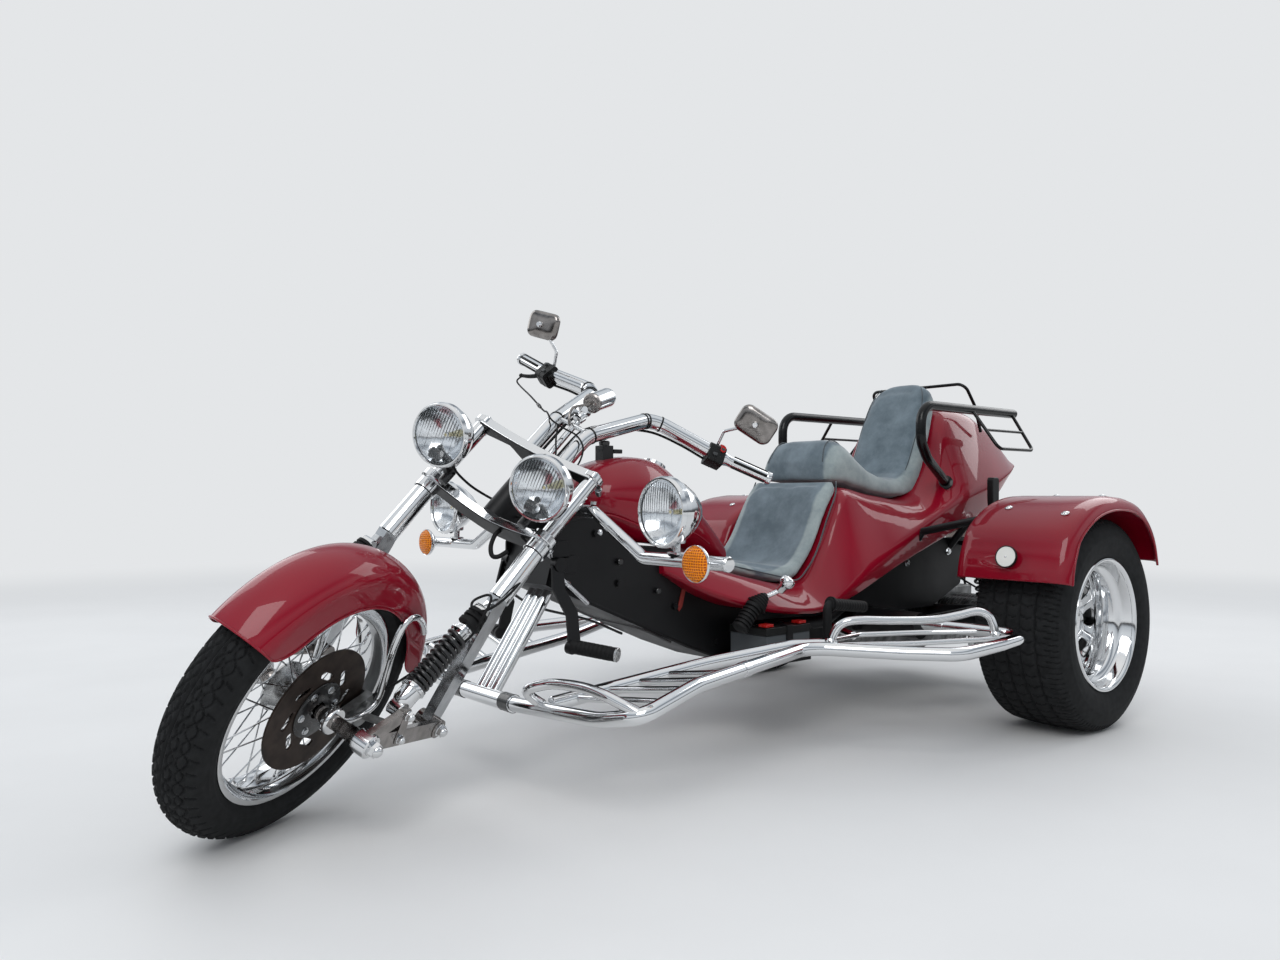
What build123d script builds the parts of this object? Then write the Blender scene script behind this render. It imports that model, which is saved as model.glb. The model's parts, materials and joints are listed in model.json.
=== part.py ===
from build123d import *
import os
from math import cos, hypot, radians, sin, sqrt

# Motorized trike: one raked, steered front wheel and two wide driven rear wheels.
# Lengths are in millimetres. X is the rider's left, Y points to the rear, Z is up.
# It is drawn with Y = 0 at the rear axle, then moved so that the middle of its length is at Y = 0.
# The fork is turned to the left against its stop, as the machine parks.

# Chassis
WHEELBASE = 2308
TAIL_Y = 600
PIVOT_GAP = 0.05

# Steering, in the fork's own frame: x left, e forward across the steering axis, t up along it
RAKE = 45
STEER_LOCK = 38
FORK_HALF_SPACING = 180
FORK_FORWARD = 45
UPPER_YOKE_T = 1186
LOWER_YOKE_T = 964
YOKE_THICK = 16
STEM_R = 16
AXLE_FORWARD = 155

# Front wheel
FRONT_TYRE_R = 336
FRONT_TYRE_WIDTH = 120
FRONT_BEAD_R = 232
FRONT_RIM_LIP_R = FRONT_BEAD_R + 8
FRONT_RIM_WIDTH = 90
FRONT_RIM_WELL_R = FRONT_BEAD_R - 18
RIM_LIP = 5
FRONT_HUB_R = 34
FRONT_HUB_FLANGE_R = 60
FRONT_HUB_WIDTH = 116
FRONT_AXLE_R = 10
SPOKE_R = 1.8
SPOKE_PAIRS = 18
DISC_SLOTS = 8
DISC_R = 145
DISC_THICK = 5

# Rear wheels
REAR_TYRE_R = 338
REAR_TYRE_WIDTH = 295
REAR_BEAD_R = 194
REAR_RIM_LIP_R = REAR_BEAD_R + 14
REAR_RIM_WIDTH = 272
REAR_BEAD_WIDTH = 28
REAR_LIP_THICK = 6
REAR_LIP_FOOT = 8
REAR_WHEEL_X = 689
REAR_SPINDLE_R = 22
WHEEL_SLOTS = 8

# Rear mudguards
REAR_GUARD_IN_X = REAR_WHEEL_X - REAR_TYRE_WIDTH / 2 - 29.5
REAR_GUARD_OUT_X = REAR_WHEEL_X + REAR_TYRE_WIDTH / 2 + 37.5
REAR_GUARD_SHEET = 5
REAR_GUARD_LIP = 28
REAR_GUARD_SKIRT = 86
REAR_GUARD_ROWS = [
    # Degrees behind the top, gap over the tyre
    (-67.4, 58), (-57.2, 83), (-43.5, 92), (-25.5, 81), (-5.7, 68), (15.7, 69), (31.8, 64), (45.8, 47), (57.9, 20),
]

# Front mudguard
GUARD_R = FRONT_TYRE_R + 30
GUARD_SET_BACK = 13
GUARD_HALF_WIDTH = FRONT_TYRE_WIDTH / 2 + 19
GUARD_SKIRT_R = 262
GUARD_SHEET = 4
GUARD_FROM = -2
GUARD_TO = 132

# Fork
FORK_TUBE_R = 22
FORK_COVER_R = 28
FORK_COVER_TOP_T = 935
KINK_E = 35
KINK_T = 777
ARM_PIVOT_E = -98
ARM_PIVOT_T = 466
ARM_X = 204
ARM_THICK = 14
LEG_THICK = 26
SHOCK_TOP_E = 72
SHOCK_TOP_T = 715
SHOCK_FOOT_E = 95
SHOCK_FOOT_T = 420
SPRING_R = 27
COIL_COUNT = 8
HEADLAMP_R = 84
HEADLAMP_X = 156
HEADLAMP_E = 211
HEADLAMP_T = 1005
HEADLAMP_DEPTH = 122

# Handlebar
RISER_R = 23
GRIP_R = 17
RISER_X = 54
MIRROR_WIDTH = 124
MIRROR_HEIGHT = 88

# Chrome tubes of the front and the running boards
BOARD_TUBE_R = 19
RUNG_R = 9
LAMP_BAR_R = 16
LAMP_BAR_BACK = 874
LAMP_BAR_Z = 592
LAMP_BAR_END_X = 694
SIDE_LAMP_X = 520
SIDE_LAMP_AHEAD = 54
SIDE_LAMP_Z = 706
SIGNAL_X = 634
SIGNAL_R = 42
SIGNAL_DEPTH = 46
STRUT_R = 15
ARMREST_R = 17
ARMREST_X = 310
ARMREST_Z = 1052
RACK_R = 6

# Frame
SPINE_HALF_WIDTH = 105
SPINE_FLOOR_Z = 240
SPINE_BACK_Y = -463
HEAD_TUBE_R = 32
HEAD_GAP = 1.5
RAIL_X = 215
RAIL_R = 20
TORSION_Y = -420
TORSION_R = 42

# Tank and seats
TANK_BACK = 940
TANK_TAIL_Y = -930
CAP_SHARE = 0.552
CAP_Z = 818
SADDLE_Y = -744
BACKREST_HALF_WIDTH = 162

# Number plate
PLATE_WIDTH = 210
PLATE_HEIGHT = 150
PLATE_THICK = 3
PLATE_Y = 566
PLATE_Z = 575
PLATE_HOLES_X = 150
PLATE_HOLES_Z = 100
PLATE_HOLE_R = 3.5

# Rear axle and engine
AXLE_TUBE_R = 34
GEARBOX_R = 130
CRANK_Z = 300
ENGINE_FRONT_Y = 95
CRANKCASE_LENGTH = 330
CRANKCASE_HALF_WIDTH = 105
CYLINDER_R = 62
CYLINDER_REACH = 360
FIN_COUNT = 6


def rod(start, end, radius):
    """Round bar between two points."""
    foot = Vector(*start)
    run = Vector(*end) - foot
    bar = Cylinder(radius, run.length, align=(Align.CENTER, Align.CENTER, Align.MIN))
    return Plane(origin=foot, z_dir=run) * bar


def cone(start, end, radius_start, radius_end):
    """Tapered round bar between two points."""
    foot = Vector(*start)
    run = Vector(*end) - foot
    bar = Cone(radius_start, radius_end, run.length, align=(Align.CENTER, Align.CENTER, Align.MIN))
    return Plane(origin=foot, z_dir=run) * bar


def bent_tube(points, bends, radius):
    """Round tube along straight runs joined by tangent arcs, one bend radius for each corner."""
    path = FilletPolyline(*points, radius=bends)
    section = Plane(origin=path @ 0, z_dir=path % 0) * Circle(radius)
    return sweep(section, path=path)


def block(low, high):
    """Box between two corners."""
    size = [b - a for a, b in zip(low, high)]
    middle = [(a + b) / 2 for a, b in zip(low, high)]
    return Pos(*middle) * Box(*size)


def side_plate(outline, x_from, x_to):
    """Plate with an outline of (Y, Z) points, between two X stations."""
    edge = Polyline(*[(x_from, y, z) for y, z in outline], close=True)
    return extrude(make_face(edge), amount=abs(x_to - x_from), dir=(1 if x_to > x_from else -1, 0, 0))


def level_plate(outline, z_from, z_to):
    """Plate with an outline of (X, Y) points, between two heights."""
    edge = Polyline(*[(x, y, z_from) for x, y in outline], close=True)
    return extrude(make_face(edge), amount=z_to - z_from, dir=(0, 0, 1))


def half_sections(rows):
    """Ruled loft through symmetric sections: rows of (Y, [(X, Z), ...] up one side)."""
    faces = []
    for y, side in rows:
        left = [(x, y, z) for x, z in side]
        right = [(-x, y, z) for x, z in reversed(side)]
        faces.append(make_face(Polyline(*left, *right, close=True)))
    return loft(faces, ruled=True)


def turned(profile):
    """Solid of revolution about X from closed (X, radius) points."""
    edge = Polyline(*profile, close=True)
    return revolve(make_face(edge), Axis.X)


def both(left):
    """A piece and its mirror image on the other side."""
    return left + mirror(left, about=Plane.YZ)


def lamp_bowl(radius, depth):
    """Lamp with its glass facing -Y: bezel, bowl and slightly domed glass, centre of the glass at 0."""
    profile = [
        (0, -0.09 * radius),
        (0.62 * radius, -0.04 * radius),
        (0.90 * radius, 0.04 * radius),
        (radius, 0.12 * radius),
        (radius, 0.30 * radius),
        (0.88 * radius, 0.42 * radius),
        (0.72 * radius, depth * 0.72),
        (0.42 * radius, depth * 0.96),
        (0, depth),
    ]
    face = make_face(Polyline(*profile, close=True))
    return revolve(face, Axis.Y)


# Steering frame. The front axle's height along the steering axis is what sets the turned wheel on the ground.
lock = radians(STEER_LOCK)
rake = radians(RAKE)
axle_side = Vector(cos(lock), cos(rake) * sin(lock), -sin(rake) * sin(lock))
crown_r = FRONT_TYRE_WIDTH / 2
ring_r = FRONT_TYRE_R - crown_r
axle_rest_z = ring_r * sqrt(1 - axle_side.Z ** 2) + crown_r
AXLE_T = axle_rest_z / cos(rake) - AXLE_FORWARD * cos(lock)
straight_axle_y = cos(rake) * (AXLE_T - AXLE_FORWARD)
STEER_FOOT_Y = -WHEELBASE - straight_axle_y
steer_plane = Plane(
    origin=(0, STEER_FOOT_Y, 0),
    x_dir=(axle_side.X, axle_side.Y, axle_side.Z),
    z_dir=(0, sin(rake), cos(rake)),
)
straight_plane = Plane(origin=(0, STEER_FOOT_Y, 0), x_dir=(1, 0, 0), z_dir=(0, sin(rake), cos(rake)))
LAMP_BAR_Y = STEER_FOOT_Y + LAMP_BAR_BACK
SIDE_LAMP_Y = LAMP_BAR_Y - SIDE_LAMP_AHEAD


def fore(distance):
    """Y of a place measured back from the foot of the steering axis."""
    return STEER_FOOT_Y + distance


def between(start, end, share):
    return start + (end - start) * share


def tank_y(share):
    """Y along the tank: 0 at its front, 1 at its tail, and on past both."""
    return between(fore(TANK_BACK), TANK_TAIL_Y, share)


def at(x, e, t):
    """Point in the fork's frame: e is forward, so it runs against the frame's own Y."""
    return (x, -e, t)


def front_reach():
    """Y of the foremost point of the turned front tyre."""
    axle = steer_plane.from_local_coords(Vector(*at(0, AXLE_FORWARD, AXLE_T)))
    return axle.Y - ring_r * sqrt(1 - axle_side.Y ** 2) - crown_r


# Front wheel, drawn about the X axis at the origin
def front_tyre():
    bead = FRONT_RIM_WIDTH / 2 - RIM_LIP
    sidewall_r = (FRONT_RIM_LIP_R + ring_r) / 2
    edges = [
        Line((-bead, FRONT_BEAD_R), (bead, FRONT_BEAD_R)),
        Line((bead, FRONT_BEAD_R), (bead, FRONT_RIM_LIP_R)),
        ThreePointArc((bead, FRONT_RIM_LIP_R), (crown_r - 4, sidewall_r), (crown_r, ring_r)),
        ThreePointArc((crown_r, ring_r), (0, FRONT_TYRE_R), (-crown_r, ring_r)),
        ThreePointArc((-crown_r, ring_r), (4 - crown_r, sidewall_r), (-bead, FRONT_RIM_LIP_R)),
        Line((-bead, FRONT_RIM_LIP_R), (-bead, FRONT_BEAD_R)),
    ]
    return revolve(make_face(edges), Axis.X)


def front_rim():
    half = FRONT_RIM_WIDTH / 2
    hoop = turned([
        (-half, FRONT_RIM_LIP_R), (-half + RIM_LIP, FRONT_RIM_LIP_R), (-half + RIM_LIP, FRONT_BEAD_R),
        (-22, FRONT_BEAD_R - 4), (-14, FRONT_RIM_WELL_R + 5), (14, FRONT_RIM_WELL_R + 5),
        (22, FRONT_BEAD_R - 4), (half - RIM_LIP, FRONT_BEAD_R), (half - RIM_LIP, FRONT_RIM_LIP_R),
        (half, FRONT_RIM_LIP_R), (half, FRONT_BEAD_R - 5), (24, FRONT_BEAD_R - 9),
        (16, FRONT_RIM_WELL_R), (-16, FRONT_RIM_WELL_R), (-24, FRONT_BEAD_R - 9),
        (-half, FRONT_BEAD_R - 5),
    ])
    bore = FRONT_AXLE_R + PIVOT_GAP
    end = FRONT_HUB_WIDTH / 2
    hub = turned([
        (-end, bore), (end, bore), (end, FRONT_HUB_R), (end - 14, FRONT_HUB_R), (end - 14, FRONT_HUB_FLANGE_R),
        (end - 20, FRONT_HUB_FLANGE_R), (end - 24, FRONT_HUB_R - 6), (24 - end, FRONT_HUB_R - 6),
        (20 - end, FRONT_HUB_FLANGE_R), (14 - end, FRONT_HUB_FLANGE_R), (14 - end, FRONT_HUB_R),
        (-end, FRONT_HUB_R),
    ])
    spokes = []
    step = 360 / SPOKE_PAIRS
    for number in range(SPOKE_PAIRS):
        side = 1 if number % 2 else -1
        for lean in (-1, 1):
            hub_angle = radians(number * step + lean * 38)
            rim_angle = radians(number * step + lean * 4)
            start_r = FRONT_HUB_FLANGE_R - 5
            end_r = FRONT_RIM_WELL_R + 3
            foot_x = side * (end - 17) + lean * 2
            start = (foot_x, start_r * cos(hub_angle), start_r * sin(hub_angle))
            finish = (side * 7, end_r * cos(rim_angle), end_r * sin(rim_angle))
            spokes.append(rod(start, finish, SPOKE_R))
    return hoop + hub + spokes


def front_disc():
    """Brake disc with long slanted slots, bolted to the hub's left side."""
    inner_x = FRONT_HUB_WIDTH / 2
    plate = Cylinder(DISC_R, DISC_THICK) - Cylinder(FRONT_HUB_R - 8, DISC_THICK)
    slot = Pos(DISC_R * 0.58, 0, 0) * Rot(0, 0, 62) * SlotOverall(46, 17)
    slots = []
    for number in range(DISC_SLOTS):
        slots.append(Rot(0, 0, 360 / DISC_SLOTS * number) * extrude(slot, amount=DISC_THICK, both=True))
    disc = plate - slots
    return Pos(inner_x + DISC_THICK / 2, 0, 0) * Rot(0, 90, 0) * disc


# Steered pieces, in the fork's frame
def lower_yoke():
    low = LOWER_YOKE_T - YOKE_THICK / 2
    fork_y = -FORK_FORWARD
    outline = [
        (-FORK_HALF_SPACING, fork_y - 30), (-110, fork_y - 50), (-40, fork_y - 62), (40, fork_y - 62),
        (110, fork_y - 50), (FORK_HALF_SPACING, fork_y - 30), (FORK_HALF_SPACING, fork_y + 30), (60, 24), (0, 30),
        (-60, 24), (-FORK_HALF_SPACING, fork_y + 30),
    ]
    plate = level_plate(outline, low, low + YOKE_THICK)
    collar = rod(at(FORK_HALF_SPACING, FORK_FORWARD, low - 6), at(FORK_HALF_SPACING, FORK_FORWARD, low + 22), 34)
    bore = rod(at(FORK_HALF_SPACING, FORK_FORWARD, low - 50), at(FORK_HALF_SPACING, FORK_FORWARD, low + 80), FORK_TUBE_R)
    stem = rod(at(0, 0, low), at(0, 0, UPPER_YOKE_T - YOKE_THICK / 2), STEM_R)
    return plate + both(collar) + stem - both(bore)


def upper_yoke():
    low = UPPER_YOKE_T - YOKE_THICK / 2
    fork_y = -FORK_FORWARD
    outline = [
        (-FORK_HALF_SPACING, fork_y - 24), (FORK_HALF_SPACING, fork_y - 24), (FORK_HALF_SPACING, fork_y + 24),
        (86, fork_y + 30), (80, 44), (-80, 44), (-86, fork_y + 30), (-FORK_HALF_SPACING, fork_y + 24),
    ]
    plate = level_plate(outline, low, low + YOKE_THICK)
    end_pad = rod(at(FORK_HALF_SPACING, FORK_FORWARD, low), at(FORK_HALF_SPACING, FORK_FORWARD, low + YOKE_THICK), 30)
    nut = rod(at(FORK_HALF_SPACING, FORK_FORWARD, low), at(FORK_HALF_SPACING, FORK_FORWARD, low + YOKE_THICK + 14), 14)
    stem_nut = rod(at(0, 0, low), at(0, 0, low + YOKE_THICK + 16), 20)
    return plate + both(end_pad) + both(nut) + stem_nut


def fork_tubes():
    top = UPPER_YOKE_T - YOKE_THICK / 2
    low = LOWER_YOKE_T - YOKE_THICK / 2 - 6
    x = FORK_HALF_SPACING
    tube = rod(at(x, FORK_FORWARD, FORK_COVER_TOP_T), at(x, FORK_FORWARD, top), FORK_TUBE_R)
    cover = cone(at(x, KINK_E, KINK_T), at(x, FORK_FORWARD, FORK_COVER_TOP_T), FORK_COVER_R, FORK_COVER_R - 1)
    ring = rod(at(x, FORK_FORWARD, FORK_COVER_TOP_T - 12), at(x, FORK_FORWARD, low), FORK_COVER_R + 3)
    return both(tube + cover + ring)


def link_plate(start, end, half_start, half_end, x_from, x_to):
    """Flat link between two (e, t) points, tapered from one half depth to the other."""
    run_e = end[0] - start[0]
    run_t = end[1] - start[1]
    length = hypot(run_e, run_t)
    side = (-run_t / length, run_e / length)
    outline = []
    for point, offset in ((start, half_start), (end, half_end), (end, -half_end), (start, -half_start)):
        outline.append((-(point[0] + side[0] * offset), point[1] + side[1] * offset))
    return side_plate(outline, x_from, x_to)


def fork_legs():
    """Legs that kink back below the covers to the swinging arm's pivot."""
    half = LEG_THICK / 2
    x = FORK_HALF_SPACING
    run_e = ARM_PIVOT_E - KINK_E
    run_t = ARM_PIVOT_T - KINK_T
    length = hypot(run_e, run_t)
    along = (run_e / length, run_t / length)
    across = (-along[1], along[0])

    def corner(distance, offset):
        e = KINK_E + along[0] * distance + across[0] * offset
        t = KINK_T + along[1] * distance + across[1] * offset
        return (-e, t)

    outline = [
        corner(-6, -30), corner(30, -32), corner(length - 40, -24), corner(length + 18, -20),
        corner(length + 24, 0), corner(length + 18, 20), corner(length - 40, 26), corner(30, 32), corner(-6, 30),
    ]
    leg = side_plate(outline, x - half, x + half)
    lug_e = SHOCK_TOP_E - SPRING_R * 0.2
    lug = side_plate(
        [(-KINK_E + 4, KINK_T - 8), (-lug_e, SHOCK_TOP_T + 34), (-lug_e, SHOCK_TOP_T + 12), (-KINK_E + 30, KINK_T - 70)],
        x - 8, x + 8,
    )
    pivot = rod(at(x - half - 8, ARM_PIVOT_E, ARM_PIVOT_T), at(ARM_X + ARM_THICK / 2 + 10, ARM_PIVOT_E, ARM_PIVOT_T), 12)
    return both(leg + lug + pivot)


def swing_arm():
    """Leading arms from the leg pivots to the front axle, with the axle and its domed nuts."""
    low_x = ARM_X - ARM_THICK / 2
    high_x = ARM_X + ARM_THICK / 2
    dome_x = high_x + 12
    pivot = (ARM_PIVOT_E, ARM_PIVOT_T)
    hub = (AXLE_FORWARD, AXLE_T)
    shock = (SHOCK_FOOT_E, SHOCK_FOOT_T)
    knee = (between(ARM_PIVOT_E, AXLE_FORWARD, 0.45), between(ARM_PIVOT_T, AXLE_T, 0.45))
    beam = link_plate(pivot, hub, 22, 19, low_x, high_x)
    lug = link_plate(shock, hub, 15, 18, low_x, high_x) + link_plate(shock, knee, 15, 16, low_x, high_x)
    bosses = rod(at(low_x, *hub), at(high_x, *hub), 25) + rod(at(low_x, *shock), at(high_x, *shock), 18)
    bar = beam + lug + bosses
    axle = rod(at(-high_x, AXLE_FORWARD, AXLE_T), at(high_x, AXLE_FORWARD, AXLE_T), FRONT_AXLE_R)
    nut = cone(at(high_x, AXLE_FORWARD, AXLE_T), at(dome_x, AXLE_FORWARD, AXLE_T), 19, 15)
    dome = cone(at(dome_x, AXLE_FORWARD, AXLE_T), at(dome_x + 14, AXLE_FORWARD, AXLE_T), 14, 6)
    spacer_in = FRONT_HUB_WIDTH / 2 + DISC_THICK + 1
    spacer = rod(at(spacer_in, AXLE_FORWARD, AXLE_T), at(low_x, AXLE_FORWARD, AXLE_T), 17)
    spacer_right = rod(at(-FRONT_HUB_WIDTH / 2 - 1, AXLE_FORWARD, AXLE_T), at(-low_x, AXLE_FORWARD, AXLE_T), 17)
    stud = rod(at(FORK_HALF_SPACING - 20, SHOCK_FOOT_E, SHOCK_FOOT_T), at(high_x + 8, SHOCK_FOOT_E, SHOCK_FOOT_T), 9)
    eye = rod(at(low_x, ARM_PIVOT_E, ARM_PIVOT_T), at(high_x, ARM_PIVOT_E, ARM_PIVOT_T), 26)
    side = bar + nut + dome + stud + eye
    return both(side) + axle + spacer + spacer_right


def front_shocks():
    """Spring and damper units between the leg lugs and the swinging arms."""
    x = FORK_HALF_SPACING
    top = Vector(*at(x, SHOCK_TOP_E, SHOCK_TOP_T))
    foot = Vector(*at(x, SHOCK_FOOT_E, SHOCK_FOOT_T))
    run = foot - top

    def station(share):
        spot = top + run * share
        return (spot.X, spot.Y, spot.Z)

    body = cone(station(0.0), station(0.24), 20, 24)
    rod_part = rod(station(0.2), station(0.97), 11)
    collar = rod(station(0.24), station(0.30), SPRING_R + 3)
    cup = rod(station(0.84), station(0.89), SPRING_R + 3)
    foot_eye = rod(at(x - 16, SHOCK_FOOT_E, SHOCK_FOOT_T), at(x + 16, SHOCK_FOOT_E, SHOCK_FOOT_T), 18)
    coils = []
    for number in range(COIL_COUNT):
        share = between(0.33, 0.81, number / (COIL_COUNT - 1))
        coils.append(rod(station(share - 0.014), station(share + 0.014), SPRING_R))
    return both(body + rod_part + collar + cup + foot_eye + coils)


def front_mudguard():
    """Deep front mudguard: a rounded crown with side skirts, swept round the wheel."""
    outer = [
        (GUARD_HALF_WIDTH, GUARD_SKIRT_R), (GUARD_HALF_WIDTH, GUARD_R - 46), (GUARD_HALF_WIDTH - 12, GUARD_R - 22),
        (GUARD_HALF_WIDTH - 36, GUARD_R - 6), (0, GUARD_R),
    ]
    inner = [
        (GUARD_HALF_WIDTH - GUARD_SHEET, GUARD_SKIRT_R), (GUARD_HALF_WIDTH - GUARD_SHEET, GUARD_R - 47),
        (GUARD_HALF_WIDTH - 15, GUARD_R - 26), (GUARD_HALF_WIDTH - 38, GUARD_R - 10), (0, GUARD_R - GUARD_SHEET),
    ]
    right_outer = [(-x, r) for x, r in reversed(outer[:-1])]
    right_inner = [(-x, r) for x, r in inner[:-1]]
    edge = Polyline(*outer, *right_outer, *right_inner, *reversed(inner), close=True)
    sweep_angle = GUARD_TO - GUARD_FROM
    guard = revolve(make_face(edge), Axis.X, revolution_arc=sweep_angle)
    # The section starts straight up the local Y axis, which is rearward, so it is turned to the front edge.
    start = Rot(180 - GUARD_FROM - sweep_angle, 0, 0) * guard
    return Pos(*at(0, AXLE_FORWARD - GUARD_SET_BACK, AXLE_T)) * start


def mudguard_brackets():
    """Bent chrome rods from the axle spacers up to the mudguard's skirts."""
    x_in = GUARD_HALF_WIDTH + 8.5
    clamp_x = 108
    left = bent_tube(
        [at(x_in, 150, 592), at(x_in + 10, 40, 600), at(clamp_x, -10, 470), at(clamp_x, AXLE_FORWARD - 18, AXLE_T + 8)],
        [40, 50], 8,
    )
    foot = rod(at(clamp_x - 9, AXLE_FORWARD, AXLE_T), at(clamp_x + 9, AXLE_FORWARD, AXLE_T), 30)
    pad = rod(at(GUARD_HALF_WIDTH, 150, 592), at(x_in + 8, 150, 592), 14)
    return both(left + foot + pad)


def headlamps():
    lamp = Rot(RAKE, 0, 0) * lamp_bowl(HEADLAMP_R, HEADLAMP_DEPTH)
    return both(Pos(*at(HEADLAMP_X, HEADLAMP_E, HEADLAMP_T)) * lamp)


def headlamp_brackets():
    low = LOWER_YOKE_T + YOKE_THICK / 2
    post = rod(at(HEADLAMP_X - 30, 66, low), at(HEADLAMP_X - 30, 66, low + 14), 13)
    arm = rod(at(HEADLAMP_X - 30, 66, low + 8), at(HEADLAMP_X, HEADLAMP_E - 40, HEADLAMP_T + 8), 11)
    return both(post + arm)


HANDLEBAR_ROUTE = [
    (RISER_X, -12, UPPER_YOKE_T + YOKE_THICK / 2),
    (RISER_X, -15, 1330),
    (104, -180, 1588),
    (335, -262, 1626),
    (479, -326, 1674),
]


def bar_point(share):
    """Point on the straight run from the last bend to the end of the grip."""
    start = Vector(*at(*HANDLEBAR_ROUTE[3]))
    end = Vector(*at(*HANDLEBAR_ROUTE[4]))
    spot = start + (end - start) * share
    return (spot.X, spot.Y, spot.Z)


def handlebar():
    points = [at(*spot) for spot in HANDLEBAR_ROUTE]
    riser = bent_tube([points[0], points[1], points[2], points[3]], [110, 90], RISER_R)
    reach = cone(points[3], bar_point(0.12), RISER_R, GRIP_R)
    flange = rod(points[0], at(RISER_X, -13, UPPER_YOKE_T + 30), RISER_R + 6)
    grip = cone(bar_point(0.12), bar_point(0.92), GRIP_R, GRIP_R + 1)
    cap = cone(bar_point(0.92), bar_point(1.0), GRIP_R + 3, GRIP_R)
    return both(riser + reach + flange + grip + cap)


def switch_boxes():
    """Switch boxes clamped where the bars meet the grips, and the brake lever on the right."""
    start = Vector(*points_of_bar(0))
    run = Vector(*points_of_bar(1)) - start
    box = Plane(origin=start - run.normalized() * 28, x_dir=(0, 0, 1), z_dir=run) * Pos(-6, 0, 0) * Box(62, 56, 56)
    clamp_hole = Plane(origin=start - run.normalized() * 80, z_dir=run) * Cylinder(RISER_R, 160)
    left = box - clamp_hole
    lever_start = at(-316, -232, 1612)
    lever_end = at(-505, -248, 1658)
    lever = rod(lever_start, lever_end, 6)
    lever_tip = Pos(*lever_end) * Sphere(8)
    return both(left) + lever + lever_tip


def points_of_bar(number):
    return at(*HANDLEBAR_ROUTE[3 + number])


def mirrors():
    """Rounded rectangular mirrors on bent stalks."""
    stalk = bent_tube(
        [at(306, -244, 1632), at(312, -190, 1668), at(360, -160, 1690), at(392, -150, 1708)],
        [14, 30], 5,
    )
    shell = extrude(RectangleRounded(MIRROR_WIDTH, MIRROR_HEIGHT, 24), amount=24)
    shell = Plane(origin=at(395, -150, 1712), x_dir=(1, 0.25, 0), z_dir=(0.2, 0.75, 0.62)) * Pos(0, 0, -12) * shell
    return both(stalk + shell)


def instrument():
    """Round instrument housing on a short post between the risers."""
    pod = rod(at(0, -12, 1435), at(0, -66, 1514), 29)
    post = rod(at(0, -22, UPPER_YOKE_T + YOKE_THICK / 2), at(0, -34, 1462), 9)
    strap = rod(at(-RISER_X, -18, 1345), at(RISER_X, -18, 1345), 8)
    return pod + post + strap


def caliper():
    """Brake caliper over the disc's rear edge, hung on the left arm."""
    disc_x = FRONT_HUB_WIDTH / 2 + DISC_THICK / 2
    e = AXLE_FORWARD - DISC_R * 0.84
    t = AXLE_T + DISC_R * 0.40
    body = Pos(*at(disc_x + 6, e, t)) * Rot(-30, 0, 0) * Box(44, 70, 84)
    gap = Pos(*at(disc_x, AXLE_FORWARD, AXLE_T)) * Rot(0, 90, 0) * Cylinder(DISC_R + 8, DISC_THICK + 10)
    arm = rod(at(disc_x + 22, e, t), at(ARM_X - ARM_THICK / 2, e + 4, t + 26), 9)
    return body - gap + arm


# Fixed pieces
def head_point(t, e):
    """Working-frame (Y, Z) of a point of the straight fork's frame."""
    spot = straight_plane.from_local_coords(Vector(*at(0, e, t)))
    return (spot.Y, spot.Z)


def frame_spine():
    """Steering head and the black box-section spine that runs down and back to the gearbox."""
    low_t = LOWER_YOKE_T + YOKE_THICK / 2 + HEAD_GAP
    high_t = UPPER_YOKE_T - YOKE_THICK / 2 - HEAD_GAP
    low_y, low_z = head_point(low_t, 0)
    high_y, high_z = head_point(high_t, 0)
    head = rod((0, low_y, low_z), (0, high_y, high_z), HEAD_TUBE_R)
    bore = rod((0, low_y - 40, low_z - 40), (0, high_y + 40, high_z + 40), STEM_R + PIVOT_GAP)
    gusset = side_plate(
        [head_point(high_t - 14, 0), head_point(high_t - 20, -120), (fore(860), 690), (fore(820), 600),
         head_point(low_t + 8, -60), head_point(low_t + 8, 0)],
        -30, 30,
    )
    outline = [
        (fore(836), 679), (fore(788), 509), (tank_y(0.635), 295), (tank_y(0.91), SPINE_FLOOR_Z),
        (SPINE_BACK_Y, SPINE_FLOOR_Z), (SPINE_BACK_Y, 400), (-700, 400), (tank_y(0.873), 470), (tank_y(0.51), 594),
        (tank_y(0.273), 600), (tank_y(0.073), 655), (fore(TANK_BACK), 690),
    ]
    box = side_plate(outline, -SPINE_HALF_WIDTH, SPINE_HALF_WIDTH)
    return head + gusset + box - bore


def rear_rail():
    """Left rail from the spine's flank up and back under the tail, with the side panel welded to it."""
    rail = bent_tube(
        [(SPINE_HALF_WIDTH, -760, 330), (RAIL_X, -640, 340), (RAIL_X, -300, 500), (RAIL_X, 250, 560)],
        [60, 120], RAIL_R,
    )
    panel = side_plate(
        [(-560, 420), (-330, 350), (-60, 350), (120, 420), (190, 590), (-20, 590), (-300, 500)],
        RAIL_X + RAIL_R - 6, RAIL_X + RAIL_R,
    )
    return rail + panel


def cross_tubes():
    """Torsion tube ahead of the axle with its hangers, and the rear cross tube."""
    torsion = rod((-430, TORSION_Y, 330), (430, TORSION_Y, 330), TORSION_R)
    hanger = side_plate([(-480, 300), (-360, 300), (-330, 470), (-380, 440), (-480, 380)], RAIL_X - 8, RAIL_X + 8)
    rear_cross = rod((-RAIL_X, 240, 560), (RAIL_X, 240, 560), 18)
    return both(hanger) + torsion + rear_cross


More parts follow.
